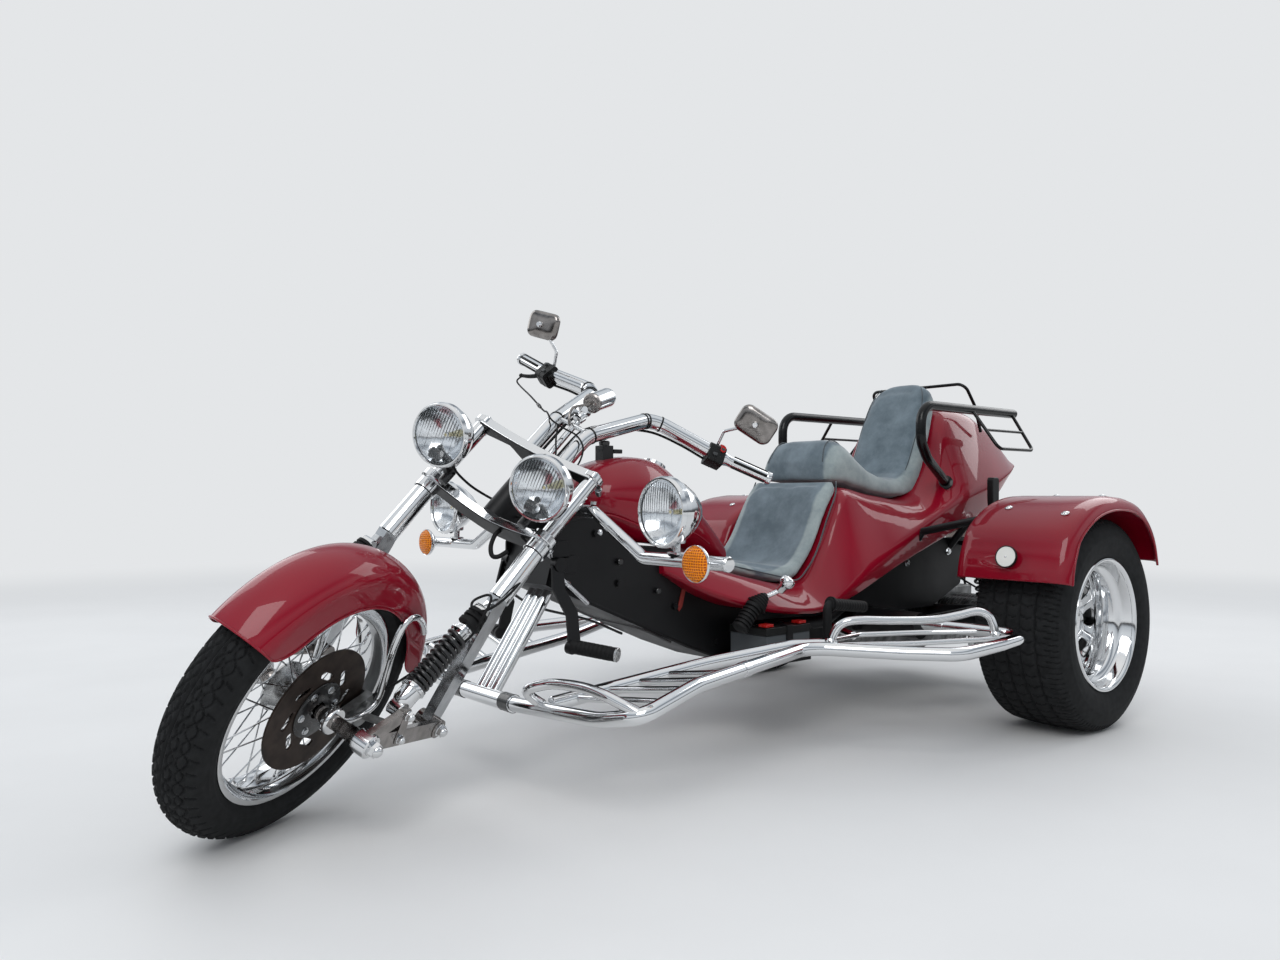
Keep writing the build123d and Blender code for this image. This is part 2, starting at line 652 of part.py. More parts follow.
def fuel_tank():
    """Teardrop tank over the front of the spine."""
    rows = [
        # Share of the length from the front, (X, Z) up the left side
        (0.0, [(30, 700), (62, 712), (66, 740), (40, 772)]),
        (0.109, [(70, 662), (128, 690), (128, 768), (62, 822)]),
        (0.291, [(90, 612), (158, 655), (156, 770), (70, 852)]),
        (0.473, [(90, 600), (156, 650), (146, 758), (66, 845)]),
        (0.636, [(80, 590), (132, 640), (118, 722), (50, 796)]),
        (0.818, [(60, 560), (104, 600), (92, 655), (36, 700)]),
        (1.0, [(50, 530), (70, 545), (62, 580), (24, 600)]),
    ]
    return half_sections([(tank_y(share), side) for share, side in rows])


def tank_cap():
    """Filler cap on the tank's rear slope, square to the metal."""
    foot = Vector(0, tank_y(CAP_SHARE), CAP_Z)
    lean = Vector(0, 0.5, 1).normalized()
    neck = rod(foot - lean * 16, foot + lean * 10, 30)
    lid = rod(foot + lean * 10, foot + lean * 24, 36)
    return neck + lid


def body_shell():
    """Fibreglass body from the tank's end, under both seats, to the tail."""
    nose_y = tank_y(0.454)
    rows = [
        (nose_y, [(60, 520), (128, 520), (130, 530), (112, 575), (60, 578)]),
        (between(nose_y, SADDLE_Y, 0.268), [(90, 446), (205, 446), (212, 456), (150, 540), (60, 560)]),
        (between(nose_y, SADDLE_Y, 0.597), [(120, 398), (272, 398), (280, 410), (205, 490), (90, 545)]),
        (SADDLE_Y, [(120, 382), (286, 382), (296, 396), (214, 505), (90, 520)]),
        (-586, [(120, 417), (284, 417), (301, 458), (206, 706), (90, 690)]),
        (-500, [(120, 444), (283, 444), (302, 505), (196, 800), (90, 800)]),
        (-317, [(120, 509), (281, 509), (301, 588), (180, 762), (90, 780)]),
        (-110, [(120, 574), (280, 574), (300, 682), (186, 742), (90, 780)]),
        (20, [(120, 614), (280, 614), (300, 728), (206, 850), (90, 880)]),
        (110, [(120, 640), (278, 640), (298, 748), (196, 1040), (90, 1064)]),
        (300, [(120, 715), (262, 715), (278, 790), (178, 1060), (80, 1078)]),
        (480, [(110, 810), (225, 810), (236, 830), (160, 975), (70, 1010)]),
        (TAIL_Y, [(80, 850), (186, 850), (192, 862), (140, 900), (60, 915)]),
    ]
    return half_sections(rows)


def rider_seat():
    """Low front seat, from its nose over the tank's tail up to the passenger's hump."""
    rows = [
        (-900, [(60, 500), (96, 512), (92, 530), (40, 548)]),
        (-840, [(120, 480), (168, 492), (160, 512), (60, 530)]),
        (-745, [(140, 468), (196, 484), (186, 512), (60, 512)]),
        (-660, [(140, 520), (200, 560), (188, 610), (60, 590)]),
        (-590, [(140, 620), (196, 680), (184, 742), (60, 720)]),
        (-530, [(140, 740), (190, 775), (180, 800), (60, 800)]),
    ]
    return half_sections(rows)


def passenger_seat():
    """Raised rear seat in one piece with its hump in front and its tall backrest."""
    outline = [
        (-530, 800.5), (-525, 870), (-498, 922), (-460, 936), (-410, 915), (-330, 858), (-240, 815), (-140, 800),
        (-90, 812), (-40, 880), (20, 1010), (60, 1105), (90, 1160), (112, 1176), (138, 1170), (140, 1130),
        (100, 1060), (60, 960), (20, 860), (-20, 770), (-60, 742), (-120, 732), (-240, 742), (-370, 772), (-480, 796),
    ]
    half = BACKREST_HALF_WIDTH
    pad = side_plate(outline, -half, half)
    front = [
        (-half, 700), (half, 700), (half, 1000), (half - 8, 1060), (half - 30, 1118), (half - 62, 1156),
        (half - 100, 1174), (0, 1180), (100 - half, 1174), (62 - half, 1156), (30 - half, 1118), (8 - half, 1060),
        (-half, 1000),
    ]
    face = make_face(Polyline(*[(x, -560, z) for x, z in front], close=True))
    return pad & extrude(face, amount=760, dir=(0, 1, 0))


def armrests():
    """Thick black hoops from the body's flanks up and back beside the passenger."""
    left = bent_tube(
        [(244, 24, 744), (ARMREST_X, -232, 955), (ARMREST_X, -236, ARMREST_Z), (ARMREST_X, 372, ARMREST_Z)],
        [70, 70], ARMREST_R,
    )
    return both(left)


def luggage_rack():
    """Thin black hoop behind the backrest and the side wings that hang out from the armrests."""
    top = (ARMREST_X + 8, ARMREST_Z - 6)
    low = (ARMREST_X + 108, 908)
    middle = ((top[0] + low[0]) / 2, (top[1] + low[1]) / 2)
    wing = bent_tube(
        [(top[0], 75, top[1]), (low[0], 77, low[1]), (low[0], 312, low[1]), (top[0], 347, top[1])], [24, 24], RACK_R,
    )
    bar = rod((middle[0], 76, middle[1]), (middle[0], 330, middle[1]), RACK_R - 1)
    hoop = bent_tube(
        [(ARMREST_X - 8, 116, ARMREST_Z + 6), (212, 196, 1164), (-212, 196, 1164), (8 - ARMREST_X, 116, ARMREST_Z + 6)],
        [40, 40], RACK_R,
    )
    return both(wing + bar) + hoop


def guard_band(depth):
    """(Y, Z) outline of the rear mudguard's side, from the crown line inward by a depth."""
    outline = []
    for inset in (0, depth):
        arc = []
        for angle, gap in REAR_GUARD_ROWS:
            radius = REAR_TYRE_R + gap - inset
            arc.append((radius * sin(radians(angle)), REAR_TYRE_R + radius * cos(radians(angle))))
        outline += arc if inset == 0 else arc[::-1]
    return outline


def rear_mudguard():
    """Left rear mudguard: a wide arch over the tyre, with a lip outside and a deeper skirt inside."""
    crown = side_plate(guard_band(REAR_GUARD_SHEET), REAR_GUARD_IN_X, REAR_GUARD_OUT_X)
    lip = side_plate(guard_band(REAR_GUARD_LIP), REAR_GUARD_OUT_X - REAR_GUARD_SHEET, REAR_GUARD_OUT_X)
    skirt = side_plate(guard_band(REAR_GUARD_SKIRT), REAR_GUARD_IN_X, REAR_GUARD_IN_X + REAR_GUARD_SHEET)
    return crown + lip + skirt


def mudguard_stays():
    """Tubes from the rear frame out to both mudguards."""
    stays = []
    for y, z_rail, rise in ((-215, 510, 282), (60, 540, 302)):
        z = REAR_TYRE_R + rise
        stays.append(rod((RAIL_X, y, z_rail), (300, y, z), 13))
        stays.append(rod((300, y, z), (REAR_GUARD_IN_X + 2, y, z + 45), 13))
    return both(Part() + stays)


def running_board():
    """Left running board: rider's foot triangle in front and passenger's foot frame behind."""
    r = BOARD_TUBE_R
    front_y = fore(698)
    outer = bent_tube(
        [(140, fore(668), 222), (450, front_y, 232), (576, fore(720), 258), (540, between(front_y, -1050, 0.33), 296),
         (445, -1050, 318), (700, -800, 312), (748, -640, 318), (752, -400, 338)],
        [300, 45, 200, 90, 90, 200], r,
    )
    inner = bent_tube(
        [(262, front_y, 238), (318, between(front_y, -1000, 0.637), 290), (404, -1000, 322), (404, TORSION_Y, 330)],
        [400, 400], r,
    )
    cross = rod((404, TORSION_Y, 330), (752, TORSION_Y, 338), r)
    toe = bent_tube(
        [(250, fore(680), 240), (262, fore(610), 285), (340, fore(675), 300), (470, fore(690), 296),
         (568, fore(730), 262)],
        [18, 60, 80], 13,
    )
    rungs = []
    for share in (0.2, 0.4, 0.6):
        y = between(front_y, -1082, share)
        rungs.append(rod((262 + 90 * share, y, 240 + 60 * share), (566 - 60 * share, y + 40, 262 + 50 * share), RUNG_R))
    for x in (500, 590, 670):
        start_y = -1000 + (x - 445) * 0.98
        rungs.append(rod((x, start_y, 318), (x, TORSION_Y, 333), RUNG_R))
    guard = bent_tube(
        [(600, -905, 315), (640, -890, 392), (690, -640, 398), (704, -470, 392), (704, -425, 336)],
        [30, 120, 30], 11,
    )
    stay = rod((404, -760, 322), (225, -640, 336), 14)
    return outer + inner + cross + toe + rungs + guard + stay


def front_struts():
    """Front cross sleeve and the three parallel chrome struts that hold it under the steering head."""
    sleeve = rod((-140, fore(668), 222), (140, fore(668), 222), BOARD_TUBE_R + 3)
    struts = []
    for x in (-34, 0, 34):
        struts.append(rod((x, fore(668), 222), (x, fore(860), 505), STRUT_R))
    return sleeve + struts


def lamp_bar():
    """Chrome bar bolted across the spine, cranked down to carry the lamps at its ends."""
    left = bent_tube(
        [(0, LAMP_BAR_Y + 6, 704), (190, LAMP_BAR_Y + 6, 704), (400, LAMP_BAR_Y, LAMP_BAR_Z),
         (LAMP_BAR_END_X, LAMP_BAR_Y, LAMP_BAR_Z)],
        [40, 50], LAMP_BAR_R,
    )
    return both(left)


def side_lamps():
    """Two more headlamps on short posts on the outer ends of the lamp bar."""
    lamp = Pos(SIDE_LAMP_X, SIDE_LAMP_Y, SIDE_LAMP_Z) * lamp_bowl(HEADLAMP_R, HEADLAMP_DEPTH)
    post = rod((SIDE_LAMP_X, LAMP_BAR_Y, LAMP_BAR_Z), (SIDE_LAMP_X, LAMP_BAR_Y + 4, LAMP_BAR_Z + 50), 12)
    return both(lamp + post)


def turn_signals():
    """Amber lamps in front of the ends of the lamp bar."""
    lens_y = LAMP_BAR_Y - LAMP_BAR_R - SIGNAL_DEPTH
    lens = Pos(SIGNAL_X, lens_y, LAMP_BAR_Z) * lamp_bowl(SIGNAL_R, SIGNAL_DEPTH)
    stem = rod((SIGNAL_X, LAMP_BAR_Y - LAMP_BAR_R - 12, LAMP_BAR_Z), (SIGNAL_X, LAMP_BAR_Y, LAMP_BAR_Z), 10)
    return both(lens + stem)


def foot_pedals():
    """Black pedal arms hung beside the spine, with round rubber-covered pegs."""
    arm = bent_tube(
        [(SPINE_HALF_WIDTH + 14, fore(820), 560), (160, fore(805), 470), (176, fore(808), 400), (180, fore(820), 352)],
        [60, 60], 12,
    )
    pivot = rod((SPINE_HALF_WIDTH, fore(820), 560), (SPINE_HALF_WIDTH + 26, fore(820), 560), 20)
    peg = rod((176, fore(818), 356), (292, fore(880), 340), 19)
    return both(arm + pivot + peg)


def gear_lever():
    """Gear lever on the left of the body with a chrome knob and a rubber gaiter."""
    gaiter = cone((250, -900, 404), (290, -917, 446), 32, 20)
    lever = rod((285, -915, 430), (326, -940, 476), 8)
    knob = cone((322, -938, 470), (338, -948, 506), 14, 21)
    cap = Pos(338, -948, 506) * Sphere(21)
    return gaiter + lever + knob + cap


def parking_lever():
    base = block((RAIL_X + RAIL_R, 120, 560), (372, 160, 578))
    lever = cone((352, 140, 578), (352, 168, 810), 9, 17)
    return base + lever


def battery():
    case = block((150, -1000, 262), (300, -800, 362))
    tray = block((SPINE_HALF_WIDTH, -1000, 250), (300, -800, 262))
    return case + tray


def foot_pegs():
    """Rubber covered grip bar beside the passenger's foot frame."""
    bar = rod((404, -1010, 430), (404, -850, 412), 16)
    post = rod((404, -905, 340), (404, -905, 418), 10)
    return both(bar + post)


def gearbox():
    y_front = -440
    case = rod((0, -300, CRANK_Z), (0, 60, CRANK_Z), GEARBOX_R)
    nose = cone((0, y_front, CRANK_Z), (0, -300, CRANK_Z), 80, GEARBOX_R)
    bell = cone((0, 10, CRANK_Z), (0, ENGINE_FRONT_Y, CRANK_Z), GEARBOX_R, 165)
    tube = rod((100, 0, REAR_TYRE_R - 30), (470, 0, REAR_TYRE_R), AXLE_TUBE_R)
    drum = rod((470, 0, REAR_TYRE_R), (548, 0, REAR_TYRE_R), 128)
    spindle = rod((548, 0, REAR_TYRE_R), (REAR_WHEEL_X + 36, 0, REAR_TYRE_R), REAR_SPINDLE_R)
    return case + nose + bell + both(tube + drum + spindle)


def rear_suspension():
    """Trailing arms from the torsion tube to the axle ends, and rear shock absorbers."""
    arm = side_plate([(TORSION_Y, 308), (TORSION_Y, 352), (-4, 366), (-4, 304)], 400, 416)
    spring = rod((394, 22, 400), (346, 52, 590), 30)
    damper = rod((402, 17, 345), (331, 61, 640), 12)
    return both(arm + spring + damper)


def engine():
    """Air-cooled flat four: crankcase, finned cylinders and rocker covers."""
    y0 = ENGINE_FRONT_Y
    case = block((-CRANKCASE_HALF_WIDTH, y0, CRANK_Z - 120), (CRANKCASE_HALF_WIDTH, y0 + CRANKCASE_LENGTH, CRANK_Z + 90))
    pulley = rod((0, y0 + CRANKCASE_LENGTH, CRANK_Z), (0, y0 + CRANKCASE_LENGTH + 34, CRANK_Z), 88)
    side = []
    for y in (y0 + 90, y0 + 225):
        side.append(rod((CRANKCASE_HALF_WIDTH, y, CRANK_Z), (CYLINDER_REACH - 60, y, CRANK_Z), CYLINDER_R - 14))
        for number in range(FIN_COUNT):
            x = CRANKCASE_HALF_WIDTH + 16 + number * 26
            side.append(rod((x, y, CRANK_Z), (x + 6, y, CRANK_Z), CYLINDER_R))
    side.append(block((CYLINDER_REACH - 80, y0 + 20, CRANK_Z - 60), (CYLINDER_REACH - 28, y0 + 295, CRANK_Z + 62)))
    side.append(block((CYLINDER_REACH - 28, y0 + 40, CRANK_Z - 52), (CYLINDER_REACH, y0 + 275, CRANK_Z + 20)))
    return case + pulley + both(Part() + side)


def fan_housing():
    """Cooling fan housing above the engine, with the generator and its pulley behind it."""
    z0 = CRANK_Z + 90
    housing = block((-180, 110, z0 + 14), (180, 190, 560))
    ring = rod((0, 190, 478), (0, 215, 478), 84)
    generator = rod((0, 215, 478), (0, 400, 478), 52)
    pulley = rod((0, 400, 478), (0, 428, 478), 62)
    stand = block((-30, 250, z0), (30, 340, 440))
    foot = block((-90, 130, z0), (90, 180, z0 + 14))
    return housing + ring + generator + pulley + stand + foot


def exhaust():
    """Cross silencer below the engine's rear with two chrome tail pipes."""
    can = rod((-260, 505, 235), (260, 505, 235), 62)
    pipe = bent_tube([(250, 185, 200), (330, 300, 190), (300, 440, 205), (230, 480, 225)], [60, 60], 20)
    stub = rod((250, 185, 190), (250, 185, CRANK_Z - 62), 20)
    tail = rod((150, 505, 210), (150, 598, 200), 22)
    return both(pipe + stub + tail) + can


def rear_lights():
    """Rear bar with round tail lamps and amber lamps."""
    bar = bent_tube([(215, 235, 560), (330, 420, 560), (470, 500, 560)], [80], 14)
    plate_arm = rod((-300, 400, 560), (300, 400, 560), 12)
    cup = rod((400, 455, 560), (400, 560, 560), 46)
    amber = rod((500, 500, 560), (500, 560, 560), 36)
    link = rod((460, 498, 560), (500, 510, 560), 12)
    plate_stay = rod((50, 400, 560), (50, PLATE_Y, 560), 9)
    return both(bar + cup + amber + link + plate_stay) + plate_arm


def number_plate():
    """Blank plate with a bolt hole near each corner."""
    half = PLATE_WIDTH / 2
    plate = block((-half, PLATE_Y, PLATE_Z - PLATE_HEIGHT / 2), (half, PLATE_Y + PLATE_THICK, PLATE_Z + PLATE_HEIGHT / 2))
    for x in (-PLATE_HOLES_X / 2, PLATE_HOLES_X / 2):
        for z in (PLATE_Z - PLATE_HOLES_Z / 2, PLATE_Z + PLATE_HOLES_Z / 2):
            plate -= rod((x, PLATE_Y - 5, z), (x, PLATE_Y + PLATE_THICK + 5, z), PLATE_HOLE_R)
    return plate


def rear_tyre():
    half = REAR_TYRE_WIDTH / 2
    bead = REAR_RIM_WIDTH / 2 - REAR_LIP_FOOT
    lip = REAR_RIM_WIDTH / 2 - REAR_LIP_THICK
    edges = [
        Line((-bead, REAR_BEAD_R), (bead, REAR_BEAD_R)),
        Line((bead, REAR_BEAD_R), (lip, REAR_RIM_LIP_R)),
        ThreePointArc((lip, REAR_RIM_LIP_R), (half, 262), (130, 318)),
        ThreePointArc((130, 318), (122, 328), (108, 332)),
        ThreePointArc((108, 332), (0, REAR_TYRE_R), (-108, 332)),
        ThreePointArc((-108, 332), (-122, 328), (-130, 318)),
        ThreePointArc((-130, 318), (-half, 262), (-lip, REAR_RIM_LIP_R)),
        Line((-lip, REAR_RIM_LIP_R), (-bead, REAR_BEAD_R)),
    ]
    return revolve(make_face(edges), Axis.X)


def rear_rim():
    """Deep chrome steel wheel: stepped barrel, set-in centre with slots and a domed cap."""
    half = REAR_RIM_WIDTH / 2
    lip = half - REAR_LIP_THICK
    foot = half - REAR_LIP_FOOT
    seat = half - REAR_BEAD_WIDTH
    barrel = turned([
        (-half, REAR_RIM_LIP_R), (-lip, REAR_RIM_LIP_R), (-foot, REAR_BEAD_R), (-seat, REAR_BEAD_R),
        (-60, REAR_BEAD_R - 6), (-40, 168), (60, 168), (84, REAR_BEAD_R - 6), (seat, REAR_BEAD_R),
        (foot, REAR_BEAD_R), (lip, REAR_RIM_LIP_R),
        (half, REAR_RIM_LIP_R), (half, REAR_BEAD_R - 4), (90, REAR_BEAD_R - 12), (66, 160),
        (-46, 160), (-66, REAR_BEAD_R - 12), (-half, REAR_BEAD_R - 4),
    ])
    bore = REAR_SPINDLE_R + PIVOT_GAP
    centre = turned([(-10, bore), (-10, 70), (14, 100), (20, 162), (12, 162), (4, 104), (-22, 76), (-22, bore)])
    cap = turned([(-22, bore), (38, bore), (38, 40), (30, 44), (-10, 44), (-22, 60)])
    lid = rod((38, 0, 0), (46, 0, 0), 38)
    slots = []
    for number in range(WHEEL_SLOTS):
        angle = 360 / WHEEL_SLOTS * number
        slots.append(Rot(angle, 0, 0) * Pos(10, 0, 132) * Rot(0, 90, 0) * Cylinder(17, 60))
    return barrel + (centre - slots) + cap + lid


def place_front(shape):
    """From a wheel's own centre to the front axle, still in the fork's frame."""
    return Pos(*at(0, AXLE_FORWARD, AXLE_T)) * shape


def place_rear(shape):
    return Pos(REAR_WHEEL_X, 0, REAR_TYRE_R) * shape


steered = {
    "lower_yoke": lower_yoke() + headlamp_brackets(),
    "upper_yoke": upper_yoke(),
    "fork_tubes": fork_tubes(),
    "fork_legs": fork_legs(),
    "swing_arm": swing_arm() + mudguard_brackets(),
    "front_shocks": front_shocks(),
    "front_mudguard": front_mudguard(),
    "headlamps": headlamps(),
    "handlebar": handlebar(),
    "switch_boxes": switch_boxes(),
    "mirrors": mirrors(),
    "instrument": instrument(),
    "front_caliper": caliper(),
    "front_tyre": place_front(front_tyre()),
    "front_rim": place_front(front_rim()),
    "front_disc": place_front(front_disc()),
}
left_guard = rear_mudguard()
left_board = running_board()
left_tyre = place_rear(rear_tyre())
left_rim = place_rear(rear_rim())
left_rail = rear_rail()
fixed = {
    "frame_spine": frame_spine(),
    "rear_rail_left": left_rail,
    "rear_rail_right": mirror(left_rail, about=Plane.YZ),
    "cross_tubes": cross_tubes(),
    "fuel_tank": fuel_tank(),
    "tank_cap": tank_cap(),
    "body_shell": body_shell(),
    "rider_seat": rider_seat(),
    "passenger_seat": passenger_seat(),
    "armrests": armrests(),
    "luggage_rack": luggage_rack(),
    "rear_mudguard_left": left_guard,
    "rear_mudguard_right": mirror(left_guard, about=Plane.YZ),
    "mudguard_stays": mudguard_stays(),
    "running_board_left": left_board,
    "running_board_right": mirror(left_board, about=Plane.YZ),
    "front_struts": front_struts(),
    "lamp_bar": lamp_bar(),
    "side_lamps": side_lamps(),
    "turn_signals": turn_signals(),
    "hand_levers": gear_lever() + parking_lever(),
    "battery": battery(),
    "foot_controls": foot_pedals() + foot_pegs(),
    "gearbox": gearbox(),
    "rear_suspension": rear_suspension(),
    "engine": engine(),
    "fan_housing": fan_housing(),
    "exhaust": exhaust(),
    "rear_lights": rear_lights(),
    "number_plate": number_plate(),
    "rear_tyre_left": left_tyre,
    "rear_tyre_right": mirror(left_tyre, about=Plane.YZ),
    "rear_rim_left": left_rim,
    "rear_rim_right": mirror(left_rim, about=Plane.YZ),
}

# Pieces let into others: each first piece is cut away where the others pass through it
LET_IN = [
    ("rear_rail_left", ["frame_spine", "mudguard_stays"]),
    ("rear_rail_right", ["frame_spine", "mudguard_stays"]),
    ("cross_tubes", ["rear_rail_left", "rear_rail_right"]),
    ("fuel_tank", ["frame_spine"]),
    ("body_shell", [
        "rider_seat", "passenger_seat", "fuel_tank", "frame_spine", "rear_rail_left", "rear_rail_right", "hand_levers",
        "armrests", "mudguard_stays",
    ]),
    ("tank_cap", ["fuel_tank"]),
    ("lamp_bar", ["frame_spine", "fuel_tank"]),
    ("front_struts", ["frame_spine"]),
    ("gearbox", ["cross_tubes"]),
    ("fork_tubes", ["upper_yoke", "lower_yoke"]),
    ("fork_legs", ["fork_tubes"]),
    ("lower_yoke", ["headlamps"]),
    ("swing_arm", ["fork_legs", "front_mudguard"]),
    ("front_shocks", ["fork_legs", "swing_arm"]),
    ("front_caliper", ["swing_arm"]),
    ("handlebar", ["upper_yoke"]),
    ("switch_boxes", ["handlebar"]),
    ("mirrors", ["switch_boxes", "handlebar"]),
    ("instrument", ["upper_yoke", "handlebar"]),
    ("mudguard_stays", ["rear_mudguard_left", "rear_mudguard_right"]),
    ("rear_suspension", ["cross_tubes", "gearbox", "mudguard_stays"]),
    ("running_board_left", ["front_struts", "rear_rail_left", "cross_tubes"]),
    ("running_board_right", ["front_struts", "rear_rail_right", "cross_tubes"]),
    ("side_lamps", ["lamp_bar"]),
    ("turn_signals", ["lamp_bar"]),
    ("luggage_rack", ["armrests", "body_shell"]),
    ("foot_controls", ["running_board_left", "running_board_right", "frame_spine"]),
    ("rear_lights", ["rear_rail_left", "rear_rail_right", "cross_tubes", "number_plate"]),
    ("fan_housing", ["engine"]),
    ("exhaust", ["engine"]),
    ("battery", ["running_board_left", "frame_spine"]),
]
for name, others in LET_IN:
    group = steered if name in steered else fixed
    for other in others:
        group[name] = group[name] - group[other]

middle_y = (front_reach() + TAIL_Y) / 2
to_row = Pos(0, -middle_y, 0)
os.makedirs("parts", exist_ok=True)
for name, shape in steered.items():
    export_step(to_row * (steer_plane.location * shape), f"parts/{name}.step")
for name, shape in fixed.items():
    export_step(to_row * shape, f"parts/{name}.step")
print("rear axle at Y", round(-middle_y, 3))
print("steering foot at Y", round(STEER_FOOT_Y - middle_y, 3))
front_axle = steer_plane.from_local_coords(Vector(*at(0, AXLE_FORWARD, AXLE_T)))
print("front axle", round(front_axle.X, 3), round(front_axle.Y - middle_y, 3), round(front_axle.Z, 3))
print("axle side", round(axle_side.X, 5), round(axle_side.Y, 5), round(axle_side.Z, 5))
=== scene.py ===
import json
from math import atan2, cos, degrees, pi, radians, sin, sqrt, tan

import bmesh
import bpy
import numpy as np
from mathutils import Matrix, Vector


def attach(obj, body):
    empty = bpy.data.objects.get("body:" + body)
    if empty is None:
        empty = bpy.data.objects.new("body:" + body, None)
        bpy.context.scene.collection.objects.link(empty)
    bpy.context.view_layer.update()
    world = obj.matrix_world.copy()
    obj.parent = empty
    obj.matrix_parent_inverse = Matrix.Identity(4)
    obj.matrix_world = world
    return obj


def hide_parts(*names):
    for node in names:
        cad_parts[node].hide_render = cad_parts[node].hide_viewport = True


# Motorized trike: a raked, steered wire wheel in front and two wide chromed steel wheels behind.
# Shapes are drawn in millimetres: X to the rider's left, Y to the rear from the rear axle, Z up from the ground.
# Steered pieces are drawn in the fork's own frame: x left, e forward across the steering axis, t up along it.
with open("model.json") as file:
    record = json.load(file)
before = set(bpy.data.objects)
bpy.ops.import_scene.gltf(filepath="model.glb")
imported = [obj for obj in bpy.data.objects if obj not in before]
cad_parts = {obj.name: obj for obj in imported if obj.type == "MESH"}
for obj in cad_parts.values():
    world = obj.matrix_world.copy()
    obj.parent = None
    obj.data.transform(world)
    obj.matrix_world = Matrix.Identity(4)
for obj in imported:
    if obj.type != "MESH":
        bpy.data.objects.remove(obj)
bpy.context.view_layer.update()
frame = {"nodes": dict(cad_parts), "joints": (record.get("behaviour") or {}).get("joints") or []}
joints = {joint["name"]: joint for joint in frame["joints"]}

MM = 0.001
X, Y, Z = (1, 0, 0), (0, 1, 0), (0, 0, 1)
REAR_AXLE = Vector(joints["rear_wheel_left_spin"]["pos_m"])
FRONT_AXLE = Vector(joints["front_wheel_spin"]["pos_m"])
FORK_FOOT = Vector(joints["steering"]["pos_m"])
FORK_UP = Vector(joints["steering"]["axis"]).normalized()
FORK_SIDE = Vector(joints["front_wheel_spin"]["axis"]).normalized()
FORK_FORWARD = FORK_SIDE.cross(FORK_UP).normalized()
AXLE_E = (FRONT_AXLE - FORK_FOOT).dot(FORK_FORWARD) / MM
AXLE_T = (FRONT_AXLE - FORK_FOOT).dot(FORK_UP) / MM


def on_chassis(x, y, z):
    """A point of the machine, millimetres from the ground under the rear axle's middle."""
    return Vector((x * MM, y * MM + REAR_AXLE.y, z * MM))


def level_frame(foot):
    """Places a point (x, y, z) from a foot, along the machine's axes."""
    return lambda x, y, z: foot + Vector((x, y, z)) * MM


def fork_frame(foot):
    """Places a point (x, e, t) from a foot, along the fork's axes."""
    return lambda x, e, t: foot + (FORK_SIDE * x + FORK_FORWARD * e + FORK_UP * t) * MM


PLACES = {
    "chassis": on_chassis,
    "steering": fork_frame(FORK_FOOT),
    "front_wheel": fork_frame(FRONT_AXLE),
    "rear_wheel_left": level_frame(REAR_AXLE),
    "rear_wheel_right": level_frame(Vector(joints["rear_wheel_right_spin"]["pos_m"])),
}


# Shapes: each is a pair of lists, corner points in millimetres and faces
def merged(*shapes):
    """Several shapes as one."""
    points, faces = [], []
    for shape_points, shape_faces in shapes:
        start = len(points)
        points += list(shape_points)
        faces += [tuple(start + i for i in face) for face in shape_faces]
    return points, faces


def mirrored(shape):
    """The same shape on the other side."""
    return [(-x, y, z) for x, y, z in shape[0]], [tuple(reversed(face)) for face in shape[1]]


def both(*shapes):
    """Shapes and their mirror images."""
    shape = merged(*shapes)
    return merged(shape, mirrored(shape))


SIDES = (("left", lambda shape: shape), ("right", mirrored))


def moved(shape, step):
    return [tuple(Vector(point) + Vector(step)) for point in shape[0]], shape[1]


def skinned(rings, closed=True, caps=True):
    """Skin over rings of as many points each; a ring of one point is a tip."""
    points, faces, starts = [], [], []
    for ring in rings:
        starts.append(len(points))
        points += [tuple(point) for point in ring]
    for k in range(len(rings) - 1):
        count = max(len(rings[k]), len(rings[k + 1]))
        for i in range(count if closed else count - 1):
            j = (i + 1) % count
            corners = ()
            for ring, order in ((k, (i, j)), (k + 1, (j, i))):
                corners += tuple(starts[ring] + n for n in order) if len(rings[ring]) > 1 else (starts[ring],)
            faces.append(corners)
    if caps and closed:
        ends = (range(len(rings[0]))[::-1], range(starts[-1], len(points)))
        faces += [tuple(end) for end in ends if len(end) > 1]
    return points, faces


def across(direction):
    """Two unit vectors square to a direction and to each other."""
    direction = Vector(direction).normalized()
    side = direction.cross(Vector(Z if abs(direction.z) < 0.9 else X)).normalized()
    return side, direction.cross(side).normalized()


def circle(middle, side, other, radius, steps):
    turns = [2 * pi * k / steps for k in range(steps)]
    return [middle + (side * cos(a) + other * sin(a)) * radius for a in turns]


def around(count, radius, first):
    """Places round a circle, the first one at an angle in degrees."""
    turns = [radians(first + 360 * k / count) for k in range(count)]
    return [(radius * cos(a), radius * sin(a)) for a in turns]


def lathed(profile, foot=(0, 0, 0), axis=X, steps=64, caps=True):
    """Turned shape from (distance along the axis, radius) rows."""
    axis = Vector(axis).normalized()
    rings = []
    for distance, radius in profile:
        middle = Vector(foot) + axis * distance
        rings.append(circle(middle, *across(axis), radius, steps) if radius > 0 else [middle])
    return skinned(rings, caps=caps and profile[0] != profile[-1])


def drum(low, high, radius):
    """Profile of a plain disc or rod."""
    return [(low, 0), (low, radius), (high, radius), (high, 0)]


def band(low, high, inner, outer):
    """Profile of a plain ring."""
    return [(low, inner), (low, outer), (high, outer), (high, inner), (low, inner)]


